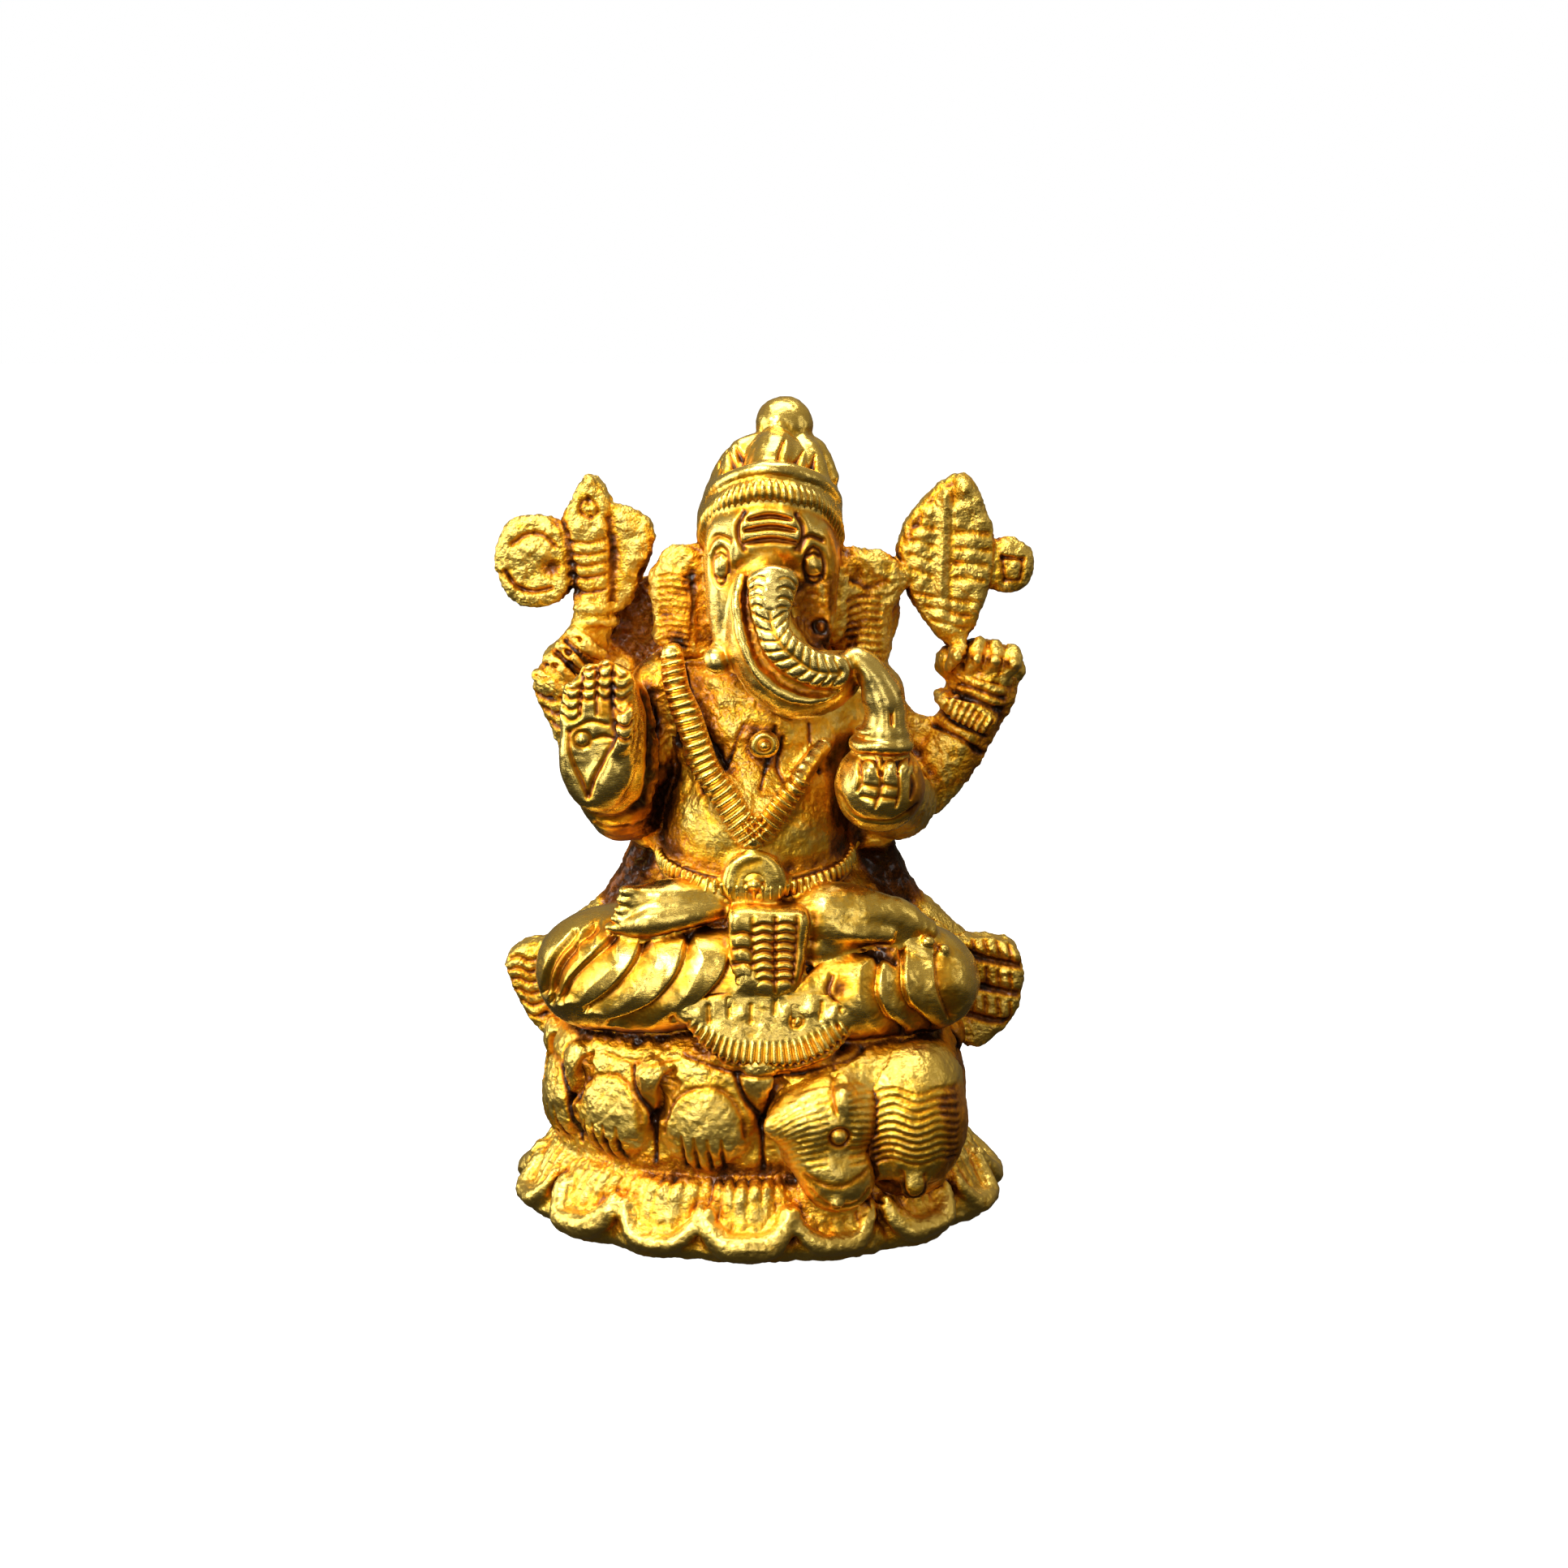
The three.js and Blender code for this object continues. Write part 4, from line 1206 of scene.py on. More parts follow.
def right_rear_arm():
    def folds(skin):
        skin.line([(-15.5, 36.2), (-14.5, 35.8), (-13.2, 35.9)], 0.2, 0.34)
        skin.line([(-15.1, 35.2), (-14.3, 34.8), (-13.2, 34.9)], 0.2, 0.34)
        skin.line([(-14.7, 34.2), (-14.0, 33.8), (-13.2, 33.9)], 0.18, 0.3)
        # painted shadow in the gap between the ear and the rear arm and hand
        skin.paint_shade([(-8.7, 41.6), (-8.6, 39.4)], 2.0, 1.0)
        skin.paint_shade([(-8.0, 38.0), (-8.4, 36.4)], 1.0, 0.5)

    web = [
        (-10.2, 42.6), (-8.4, 43.6), (-6.0, 44), (-5.5, 36), (-9.5, 31), (-12.5, 33.5), (-12.4, 38),
        (-10.4, 40),
    ]
    sculpt(
        "right_rear_arm", ROUGH_CAST,
        [
            add(tube(
                (-6.5, 2.4, 32.6, 2.1), (-10.4, 2.2, 30.4, 2.3), (-12.0, 2.0, 32.2, 1.95),
                (-12.9, 1.9, 34.4, 1.75), (-13.6, 1.8, 36.4, 1.8),
            )),
            add(tube((-13.9, 1.5, 36.7, 1.75), (-13.3, 1.6, 34.6, 1.5)), 0.4),
            add(slab(web, 2.4, 3.4, 0.4), 0.4),
        ],
        nodes=["right_rear_arm", "right_rear_bangle"], blend=0.4, chase=folds, grain=0.06, rough=0.8,
    )
    steps = [
        add(tube((-11.4, 1.5, 41.4, 1.35), (-11.9, 1.5, 39.8, 1.5), (-13.4, 1.6, 37.8, 1.8))),
        add(ring((-11.3, 1.3, 41.0), 1.3, 1.2, 0.3), 0.1),
        add(ring((-11.35, 1.3, 41.9), 1.25, 1.2, 0.28), 0.1),
    ]
    for x, z in ((-15.2, 37.5), (-14.5, 38.5), (-13.6, 39.4), (-12.8, 40.3)):
        steps.append(add(tube(
            (x, 0.5, z, 0.52), (x + 1.0, -0.1, z - 0.7, 0.56), (x + 1.9, 0.2, z - 1.4, 0.42),
        ), 0.08))
        steps.append(cut(egg((x + 0.5, -0.3, z - 0.35), (0.45, 0.5, 0.2), (0, 35, 0)), 0.1))
        steps.append(add(egg((x + 0.9, -0.45, z - 0.55), (0.36, 0.3, 0.3)), 0.06))

    def gaps(skin):
        for x, z in ((-13.0, 39.5), (-13.7, 38.7), (-14.4, 37.9), (-15.1, 37.2)):
            skin.line([(x - 0.3, z + 0.3), (x + 0.6, z - 0.5), (x + 1.4, z - 1.4)], 0.17, 0.22)

    sculpt("right_rear_hand", ROUGH_CAST, steps, blend=0.2, chase=gaps, grain=0.04, rough=0.6)


def left_rear_arm():
    def folds(skin):
        skin.line([(12.8, 37.9), (14.6, 37.5), (16.5, 37.0)], 0.2, 0.34)
        skin.line([(12.6, 37.0), (14.5, 36.6), (16.2, 36.0)], 0.2, 0.3)
        skin.line([(12.2, 36.3), (14.1, 35.9), (16.0, 35.2)], 0.2, 0.34)
        skin.line([(11.5, 33.9), (13.2, 33.3), (14.8, 32.1)], 0.18, 0.3)
        skin.ribs([(12.0, 35.6), (13.4, 35.0), (15.2, 34.0)], 0.46, 0.75, 0.16)
        skin.line([(12.0, 34.9), (13.2, 34.1), (15.0, 33.4)], 0.15, 0.3)
        # painted shade along the arm's lower outer side, away from the key light
        skin.paint_shade([(13.6, 30.6), (15.6, 33.4), (17.4, 37.2)], 1.2, 0.35)

    web = [(5.5, 43), (8.8, 43.4), (9.0, 40.5), (8.4, 37.4), (10.2, 34.6), (12.0, 33.6), (10, 29), (6, 32)]
    cuff = [(11.6, 36.0), (12.8, 36.2), (14.4, 35.7), (15.8, 34.6), (15.0, 33.9), (13.4, 34.2), (12.2, 35.0)]
    sculpt(
        "left_rear_arm", ROUGH_CAST,
        [
            add(tube(
                (7.0, 2.4, 31.2, 2.4), (10.2, 2.0, 29.4, 2.4), (12.4, 1.8, 31.4, 2.2),
                (13.9, 1.7, 34.0, 2.1), (14.8, 1.6, 36.2, 2.4),
            )),
            add(slab(web, 1.2, 3.2, 0.6), 0.5), add(slab(cuff, -0.9, 2, 0.5), 0.15),
        ],
        nodes=["left_rear_arm", "left_rear_bangle"], blend=0.4, chase=folds, grain=0.06, rough=0.8,
    )
    steps = [add(egg((14.7, 1.6, 37.9), (3.1, 1.7, 1.8), (0, 8, 0)))]
    for x, z in ((12.9, 39.3), (14.2, 39.15), (15.4, 39.0), (16.6, 38.8)):
        steps.append(add(tube(
            (x + 0.15, 0.5, z + 0.25, 0.55), (x, -0.1, z - 0.5, 0.6), (x - 0.5, 0.2, z - 1.5, 0.35),
        ), 0.08))
        steps.append(add(egg((x + 0.05, -0.75, z - 0.4), (0.42, 0.36, 0.42)), 0.05))
    sculpt("left_rear_hand", ROUGH_CAST, steps, blend=0.2, grain=0.04, rough=0.6)


def axe():
    def marks(skin):
        skin.ring_dot((-11.6, 48.6), 0.6, 0.2, dot=0.3)
        skin.line([(-11.6, 49.4), (-11.5, 47.9)], 0.13, 0.15)
        for z in (46.5, 45.7, 45.0, 44.2, 43.2):
            skin.line([(-12.9, z), (-11.8, z - 0.15), (-10.6, z + 0.1)], 0.15, 0.22)
        skin.line([(-17.3, 44.4), (-16.6, 43.4), (-15.4, 43.0), (-14.2, 43.3)], 0.18, 0.3)
        skin.line([(-16.7, 46.3), (-15.6, 47.0), (-14.6, 46.8), (-13.9, 46.2)], 0.2, 0.25)
        skin.dent((-14.2, 44.6), 0.6, 0.35)
        skin.roll([(-16.4, 45.4), (-15.6, 46.0), (-14.8, 45.6)], 0.5, 0.3)
        skin.line([(-10.3, 48.0), (-10.1, 45.6), (-10.2, 42.4)], 0.3, 0.22)
        skin.line([(-13.2, 47.6), (-12.9, 45.4), (-12.4, 42.8)], 0.3, 0.2)
        for x, z in ((-8.9, 47.4), (-8.4, 46.4), (-8.7, 45.2), (-9.3, 44.2), (-12.3, 47.3), (-11.0, 47.3)):
            skin.dent((x, z), 0.42, -0.25)
        # painted shade where the axe's back meets its shaft
        skin.paint_shade([(-9.6, 46.6), (-9.4, 43.6)], 0.7, 0.2)

    shaft = [
        (-11.6, 50.8), (-10.4, 49.4), (-10.1, 47), (-10.3, 41), (-12.4, 41), (-12.8, 44), (-13.4, 47.6),
        (-12.6, 49.4),
    ]
    blade = [
        (-12.9, 46.8), (-15.2, 48.2), (-17.2, 47.4), (-18.1, 45), (-17.3, 42.7), (-15.4, 41.9),
        (-12.9, 43.2),
    ]
    back = [(-10.8, 48.4), (-8.4, 48.4), (-7.3, 46.6), (-8.2, 44.2), (-9.2, 42), (-10.8, 42.2)]
    sculpt(
        "axe", ROUGH_CAST,
        [
            add(slab(shaft, 0.3, 2.7, 0.7)), add(slab(blade, 0.6, 2.4, 0.7), 0.3),
            add(slab(back, 0.7, 2.4, 0.7), 0.3),
        ],
        nodes=["axe_shaft", "axe_blade", "axe_back"], blend=0.3, chase=marks, grain=0.06, rough=0.8,
    )


def noose():
    def marks(skin):
        skin.roll([(12.1, 49.6), (12.0, 47.0), (11.9, 44.0), (11.8, 41.4)], 0.35, 0.28)
        skin.line([(12.6, 49.8), (12.5, 44.0), (12.4, 41.4)], 0.2, 0.14)
        skin.line([(9.5, 46.6), (10.8, 48.7), (12.4, 50.4)], 0.3, 0.2)
        for x, z in ((14.5, 47.8), (14.2, 49.2), (10.9, 48.4), (13.0, 47.6), (9.6, 44.4), (14.2, 42.6)):
            skin.dent((x, z), 0.4, -0.25)
        for a, b in (
            ((10.0, 47.6), (11.3, 47.3)), ((9.9, 46.6), (11.3, 46.2)), ((9.8, 45.6), (11.2, 45.2)),
            ((9.9, 44.6), (11.2, 44.2)), ((12.9, 47.0), (14.9, 46.9)), ((12.9, 46.0), (15.0, 45.9)),
            ((12.9, 45.0), (14.8, 44.9)), ((12.9, 44.0), (14.6, 43.8)), ((10.2, 42.9), (14.2, 42.4)),
            ((10.8, 42.0), (13.8, 41.5)), ((11.2, 41.1), (13.4, 40.7)),
        ):
            skin.line([a, b], 0.17, 0.2)
            skin.dent(((a[0] + b[0]) / 2, (a[1] + b[1]) / 2 - 0.45), 0.5, -0.22)
        skin.dent((13.3, 50.0), 0.45, -0.3)
        skin.dent((11.9, 49.3), 0.45, -0.25)
        skin.dent((13.9, 48.6), 0.45, -0.25)
        skin.dent((12.8, 48.4), 0.4, -0.25)
        skin.line([(15.9, 45.4), (17.4, 45.2)], 0.15, 0.25)
        skin.line([(15.9, 45.4), (16.1, 43.7)], 0.15, 0.2)
        skin.line([(16.1, 43.7), (17.2, 43.8), (17.4, 45.2)], 0.15, 0.2, smooth=False)

    loop = [
        (13.4, 51), (14.8, 48.6), (15.5, 45.4), (14.8, 42), (13.4, 39.7), (11.6, 39.9), (9.2, 43.8),
        (9.1, 46.6), (10.8, 49.4),
    ]
    sculpt(
        "noose", ROUGH_CAST,
        [add(slab(loop, 0.2, 2.8, 0.8)), add(egg((16.4, 1.5, 44.7), (1.75, 1.0, 1.95)), 0.2)],
        nodes=["noose", "noose_bud"], blend=0.3, chase=marks, grain=0.05, rough=0.7,
    )


# ---------------------------------------------------------------- legs and skirt


def legs():
    def shade(skin):
        skin.paint_shade([(-8.6, 27.0), (-8.4, 24.8), (-10.4, 22.0)], 1.8, 0.8)
        skin.paint_shade([(7.6, 27.0), (8.0, 24.8), (9.6, 22.6)], 2.2, 0.9)

    back_plate = [
        (-7.6, 29.4), (-9.2, 25.6), (-10.4, 23.0), (-11.4, 21.4), (-13.0, 19.7), (-15, 18), (-14, 14),
        (13, 14), (13.8, 18.4), (12.4, 20.2), (11.0, 21.6), (9.8, 23.4), (8.8, 25.8), (7.4, 29.4),
    ]
    sculpt(
        "hips", ROUGH_CAST,
        [
            add(egg((-0.5, 0.6, 19.8), (9.8, 6.8, 5.2))), add(egg((-0.4, 1.5, 16), (12.5, 6.8, 4.0)), 2),
            add(slab(back_plate, 1.2, 3.7, 0.8), 1.2),
        ],
        blend=1.0, chase=shade, grain=0.05, rough=0.9, fine=False,
    )

    def right_folds(skin):
        for path in (
            [(-12.6, 21.2), (-13.7, 20.0), (-14.6, 18.2), (-14.9, 16.8)],
            [(-11.2, 21.6), (-12.4, 20.8), (-13.5, 19.5), (-14.2, 17.8), (-14.3, 16.4)],
            [(-9.9, 21.2), (-11.0, 20.2), (-12.1, 19.2), (-13.0, 18.0), (-13.6, 16.8)],
            [(-7.7, 21.6), (-8.3, 20.2), (-9.4, 18.7), (-10.5, 17.5), (-11.8, 16.4)],
            [(-4.9, 21.4), (-5.4, 19.6), (-6.5, 18.0), (-8.1, 16.6), (-10.2, 15.4)],
            [(-2.1, 21.6), (-2.2, 20.2), (-2.8, 18.7), (-4.1, 17.2), (-6.0, 16.0)],
        ):
            skin.fold(path, (0.7, -0.7), width=1.25, depth=0.5)

    sculpt(
        "right_leg", BURNISHED,
        [
            add(tube((-1.6, -5.6, 18.4, 3.1), (-6.6, -5.2, 18.0, 3.8), (-11.3, -3.6, 17.9, 4.0))),
            add(tube((-11.5, -2.6, 17.8, 3.7), (-6, 0, 19.4, 3.6)), 1),
        ],
        blend=0.4, chase=right_folds, grain=0.02, rough=0.12, worn=0.3,
    )

    def left_folds(skin):
        skin.line([(2, 18.2), (3.6, 19.8), (5.8, 20.4), (8.8, 19.7)], 0.2, 0.35)
        skin.fold([(7.7, 20.0), (7.4, 18.1), (8.0, 16.4), (9.3, 14.6)], (-0.8, -0.5), width=1.1, depth=0.5)
        skin.fold([(9.3, 20.2), (9.2, 18.3), (9.9, 16.6), (11.3, 14.6)], (-0.8, -0.5), width=1.1, depth=0.5)
        skin.fold([(11.4, 19.8), (11.6, 17.8), (12.4, 15.4)], (0.9, -0.1), width=1.7, depth=0.35)
        skin.line([(4.5, 19.0), (4.2, 17.9), (5.2, 16.8)], 0.18, 0.2)
        skin.dent((5.0, 18.2), 0.8, 0.25)
        skin.dent((3.6, 17.2), 0.7, 0.2)

    sculpt(
        "left_leg", BURNISHED,
        [
            add(tube((2.2, -6.0, 16.8, 2.7), (6.2, -5.6, 17.0, 3.3), (8.2, -5.1, 17.3, 3.2))),
            add(tube((8.3, -5.0, 19.0, 1.6), (8.1, -5.6, 17.4, 2.6), (8.9, -5.2, 16.0, 2.2)), 0.15),
            add(egg((10.9, -3.8, 17.2), (3.3, 3.6, 3.4), (0, 15, 0)), 0.5),
            add(egg((12.6, -3.2, 16.8), (1.9, 2.6, 2.3)), 0.6),
            add(tube((10.9, -2.8, 17.2, 3.3), (6, 0, 19, 3.3)), 1),
            add(tube((9.8, -5.6, 20.2, 0.5), (11.0, -5.8, 19.7, 0.55), (12.2, -5.2, 18.8, 0.5)), 0.12),
            add(egg((10.9, -5.9, 20.6), (0.5, 0.4, 0.4)), 0.1),
            add(egg((11.9, -5.6, 20.0), (0.5, 0.4, 0.4)), 0.1),
        ],
        blend=0.4, chase=left_folds, grain=0.03, worn=0.3,
    )

    toes = (
        (-8.8, 24.2, 0.8), (-8.95, 23.6, 0.85), (-9.1, 22.95, 0.85), (-9.3, 22.35, 0.85), (-9.6, 21.7, 0.95),
    )
    sculpt(
        "right_foot", BURNISHED,
        [
            add(tube(
                (-2.8, -5.9, 22.9, 0.7), (-5.2, -6.6, 22.6, 0.95), (-7.4, -6.8, 22.2, 1.0),
                (-8.8, -6.5, 21.9, 0.8),
            )),
            add(tube((-3.4, -5.5, 23.6, 0.8), (-5.6, -6.0, 23.6, 0.9), (-8.2, -6.0, 23.4, 1.0)), 0.5),
            add(egg((-6.0, -5.3, 23.0), (3.4, 1.1, 1.7)), 0.5),
            *[add(egg((x, -6.3, z), (size, 0.65, 0.36), (0, 6, 0)), 0.2) for x, z, size in toes],
        ],
        blend=0.25, grain=0.01, rough=0.15, worn=0.4,
    )
    sculpt(
        "left_foot", BURNISHED,
        [
            add(egg((5.0, -5.5, 22.3), (3.5, 1.9, 2.2), (0, 6, 0))),
            add(egg((4.0, -5.8, 20.4), (2.2, 1.4, 1.6)), 0.6),
            add(egg((8.2, -4.7, 20.7), (2.0, 1.5, 1.3)), 0.6),
            add(tube((6.4, -5.6, 22.9, 1.1), (8.8, -5.2, 22.2, 1.2), (10.6, -4.4, 20.8, 1.0)), 0.5),
            add(tube((3.2, -6.6, 21.9, 0.5), (5.8, -7.0, 21.6, 0.6), (8.2, -6.4, 21.2, 0.5)), 0.5),
        ],
        blend=0.3, grain=0.02, rough=0.25, worn=0.3,
    )


def skirt():
    def pleats(skin):
        for k in range(7):
            z = 22.5 - 0.62 * k
            skin.line([(-0.55, z - 0.1), (0.05, z + 0.1), (0.65, z - 0.05)], 0.14, 0.26)
            skin.line([(0.85, z), (1.45, z + 0.1), (2.0, z - 0.05)], 0.14, 0.26)
        for z in (21.9, 20.9, 19.9, 18.9):
            skin.line([(-1.95, z - 0.05), (-1.3, z + 0.1), (-0.8, z - 0.05)], 0.15, 0.24)
        skin.line([(0.75, 23.0), (0.75, 18.0)], 0.14, 0.26)
        skin.line([(-0.7, 23.0), (-0.72, 21.0), (-0.6, 18.2)], 0.15, 0.15)
        skin.line([(2.15, 22.9), (2.2, 20.9), (2.0, 18.6)], 0.17, 0.24)

    panel = [
        (-2.2, 23.3), (0.2, 23.5), (2.9, 23.2), (2.8, 20.8), (2.4, 18.4), (0.6, 17.4), (-1.2, 18.0),
        (-2.2, 20.8),
    ]
    sculpt(
        "waist_pleats", BURNISHED, [add(slab(panel, -8.7, -4.5, 0.8, lean=0.08))], blend=0.25, chase=pleats,
        worn=0.3, rough=0.25,
    )

    def fringe(skin):
        hem = curve([
            (-5.4, 15.6), (-3.6, 14.6), (-2.0, 14.1), (0.2, 13.9), (2.4, 14.1), (4.0, 14.7), (5.6, 15.7),
        ])
        gap, at = walk(hem, skin.flat)[:2]
        pitch = 0.5
        ribs = np.cos(2 * math.pi * at / pitch) * (1 - smoothstep(0.4, 1.1, gap))
        skin.height += 0.17 * ribs * skin.front
        skin.line([
            (-5.3, 15.2), (-3.5, 13.9), (-1.8, 13.4), (0.3, 13.3), (2.5, 13.5), (4.2, 14.1), (5.6, 15.2),
        ], 0.13, 0.2)
        for x, z in (
            (-4.2, 16.6), (-2.9, 17.0), (-1.5, 16.6), (0.1, 17.1), (1.4, 16.5), (3.1, 16.8), (4.4, 16.4),
        ):
            skin.dent((x, z), 0.5, -0.22)
            skin.line([(x + 0.65, z + 0.5), (x + 0.6, z - 0.5)], 0.16, 0.2)
        skin.ring_dot((2.2, 16.1), 0.42, 0.16)
        skin.roughen([(-5.0, 16.0), (5.0, 16.0)], 2.0, 0.25)

    cloth = [
        (-5.9, 16.8), (-5.1, 15.5), (-4.2, 14.4), (-3.0, 13.5), (-1.6, 13.0), (0.5, 12.8), (3.2, 13.2),
        (5.0, 14.1), (6.0, 15.8), (5.4, 17.2), (3.4, 18.0), (0.2, 18.3), (-3.2, 18.1), (-5.2, 17.6),
    ]
    sculpt(
        "apron", BURNISHED, [add(slab(cloth, -9.3, -5.0, 1.0, lean=0.35))], blend=0.45, chase=fringe,
        worn=0.3, rough=0.3,
    )

    def right_fan(skin):
        for k in range(6):
            z = 17.4 - 0.85 * k
            skin.line([(-17.9, z), (-17.1, z + 0.25), (-16.3, z - 0.1), (-15.4, z + 0.2)], 0.16, 0.22)

    fan = [
        (-18.1, 16.8), (-16.9, 18.3), (-14.6, 18.8), (-12.6, 20.4), (-11, 20.5), (-11, 15), (-13.6, 12),
        (-15.8, 11.9), (-17.2, 14),
    ]
    sculpt(
        "right_sash", ROUGH_CAST, [add(slab(fan, 0.4, 3.2, 0.7))], blend=0.4, chase=right_fan, grain=0.05,
        rough=0.7,
    )

    def left_fan(skin):
        for k in range(3):
            z = 17.6 - 2.2 * k
            skin.line([(13.6, z + 0.4), (15.4, z - 0.2), (18.0, z - 0.7)], 0.28, 0.4)
            for step in range(4):
                x = 14.5 + 0.85 * step
                skin.line([(x, z + 1.5 - 0.2 * step), (x + 0.1, z + 0.5 - 0.2 * step)], 0.15, 0.22)

    fan = [
        (13.5, 18.9), (17, 18.5), (18.1, 16.6), (17.5, 13.2), (15.4, 10.9), (13.4, 11.4), (11, 15), (11, 20),
        (12.4, 19.8),
    ]
    sculpt(
        "left_sash", ROUGH_CAST, [add(slab(fan, 0.4, 3.2, 0.7))], blend=0.4, chase=left_fan, grain=0.05,
        rough=0.7,
    )


# ---------------------------------------------------------------- lotus

PETALS = 12  # round the seat
LOBES = 15  # round the base
SEAT = (-0.8, 0.0)
SEAT_HALF = (14.6, 9.9)
SEAT_ROUND = 12  # about how many mm of the seat's side make one radian
BASE = (-0.4, 0.0)
BASE_HALF = (16.9, 12.3)
MOUSE_SIDE = (math.radians(8), math.radians(66))  # where the mouse stands, as angles from the front


def around(centre, half, turn, share=1.0):
    """A point on the lotus at an angle from its front."""
    return centre[0] + half[0] * share * math.sin(turn), centre[1] - half[1] * share * math.cos(turn)


def heading(half, turn):
    """The direction in degrees that the side of the lotus faces at an angle from its front."""
    return math.degrees(math.atan2(math.sin(turn) / half[0], math.cos(turn) / half[1]))


def lotus():
    petal_phase = math.radians(-12.4)
    belly = [
        (3.4, 0.9), (5.0, 0.95), (6.5, 0.965), (8.6, 0.965), (10.8, 0.985), (12.2, 0.97), (13.4, 0.92),
        (14.4, 0.8),
    ]
    steps = [
        add(drum((*SEAT, 0), *SEAT_HALF, belly, PETALS, 0.15, petal_phase, end_soft=1.2)),
        add(egg((7.2, -5.2, 11.8), (6.0, 4.3, 2.4)), 1.6),
    ]

    def bulge(turn, slip, share, z, radii, lean=0):
        """An egg that faces outward from the seat's side, slipped round it by some mm."""
        place = (*around(SEAT, SEAT_HALF, turn + slip / SEAT_ROUND, share), z)
        return egg(place, radii, (lean, 0, heading(SEAT_HALF, turn)))

    petals, gaps = [], []
    for k in range(PETALS):
        turn = petal_phase + 2 * math.pi * k / PETALS
        between = turn + math.pi / PETALS
        if not MOUSE_SIDE[0] < turn < MOUSE_SIDE[1]:
            petals.append(turn)
            steps.append(add(bulge(turn, 0, 0.94, 9.0, (3.0, 1.15, 2.9), lean=-6), 0.6))
        if not MOUSE_SIDE[0] < between < MOUSE_SIDE[1]:
            gaps.append(between)
            steps.append(add(bulge(between, -0.1, 0.95, 12.0, (1.2, 0.8, 1.4)), 0.3))

    def seat_marks(skin):
        for turn in petals:
            side = skin.unrolled(SEAT, SEAT_HALF, turn)
            side.line([
                (-2.8, 8.4), (-2.6, 9.8), (-1.6, 11.2), (0.2, 11.7), (1.7, 11.2), (2.6, 9.8), (2.8, 8.4),
            ], 0.17, 0.14)
            for slip in (-1.4, -0.5, 0.4, 1.3):
                side.line([(slip, 8.3), (slip + 0.1, 6.2)], 0.15, 0.2, taper=0.5)
                side.line([(slip, 7.2), (slip + 0.1, 6.2)], 0.24, 0.12)
        for between in gaps:
            side = skin.unrolled(SEAT, SEAT_HALF, between)
            side.line([(-1.7, 12.6), (-1.1, 11.0), (0.0, 9.4), (0.1, 6.2)], 0.17, 0.28)
            side.fold([(0.0, 9.2), (0.6, 10.8), (1.2, 12.6)], (1, -0.3), width=1.25, depth=0.6)
        skin.line([
            (-5.2, 13.6), (-3.2, 12.9), (-0.6, 12.6), (2.1, 12.6), (5.0, 13.0), (6.6, 13.8),
        ], 0.14, 0.2)
        skin.line([(-10.5, 13.0), (-8.0, 12.9), (-5.6, 13.3)], 0.14, 0.12)
        skin.roughen([(-14, 10), (-10, 12.6), (-4, 13.6)], 2.2, 0.4)
        skin.roughen([(-13, 6.6), (-4, 5.4), (2, 5.4)], 2.2, 0.5)
        # painted shade low on the seat where it meets the base, and down its right side
        skin.paint_shade([(-12.6, 7.4), (-8, 5.9), (-3, 5.5), (1.6, 5.6)], 1.1, 0.3)
        skin.paint_shade([(13.4, 12.0), (14.0, 9.0)], 1.5, 0.5)

    sculpt("lotus_seat", SATIN, steps, blend=0.5, chase=seat_marks, grain=0.05, rough=0.35, worn=0.2)

    lobe_phase = math.radians(-2.5)
    skirt_shape = [
        (0.0, 0.95), (0.9, 0.985), (1.6, 0.975), (2.4, 0.95), (3.4, 0.92), (4.4, 0.885), (5.2, 0.84),
    ]
    base_steps = [add(drum((*BASE, 0), *BASE_HALF, skirt_shape, LOBES, 0.7, lobe_phase))]
    spread = math.pi / LOBES
    for k in range(LOBES):
        turn = lobe_phase + 2 * math.pi * k / LOBES + 0.05 * math.sin(5 * k)
        stout = 1 + 0.25 * math.sin(3 * k + 1)
        rim = []
        for slide in (-0.85, -0.75, -0.42, 0.0, 0.42, 0.75, 0.85):
            inward = slide**4
            place = around(BASE, BASE_HALF, turn + slide * spread, 0.985 - 0.14 * inward)
            rim.append((*place, 1.5 + 3.6 * inward, stout * (0.75 - 0.45 * inward)))
        base_steps.append(add(tube(*rim), 0.45))
    base_steps.append(cut(egg((16.5, -11.5, 0), (6.5, 5.5, 2.4)), 0.6))

    def base_marks(skin):
        away = skin.points[:, :2] - np.array(BASE)
        turn = np.arctan2(away[:, 0] / BASE_HALF[0], -away[:, 1] / BASE_HALF[1])
        share = np.sqrt((away[:, 0] / BASE_HALF[0]) ** 2 + (away[:, 1] / BASE_HALF[1]) ** 2)
        ribs_per_lobe = 7
        ribs = np.abs(np.sin((turn - lobe_phase) * LOBES * (ribs_per_lobe / 2))) - 0.5
        patchy = np.clip(0.55 + 0.6 * value_noise(skin.points, 1.6, 8), 0.1, 1)
        upward = smoothstep(0.2, 0.5, skin.normals[:, 2])
        skin.height += 0.32 * patchy * ribs * upward * smoothstep(0.97, 0.92, share)
        skin.grit += 0.4 * smoothstep(0.95, 0.85, share)
        # painted shade on the base's top under the seat's overhang
        skin.painted_shade += 0.3 * smoothstep(0.86, 0.78, share)

    sculpt("lotus_base", SATIN, base_steps, blend=0.5, chase=base_marks, grain=0.055, rough=0.35, worn=0.25)


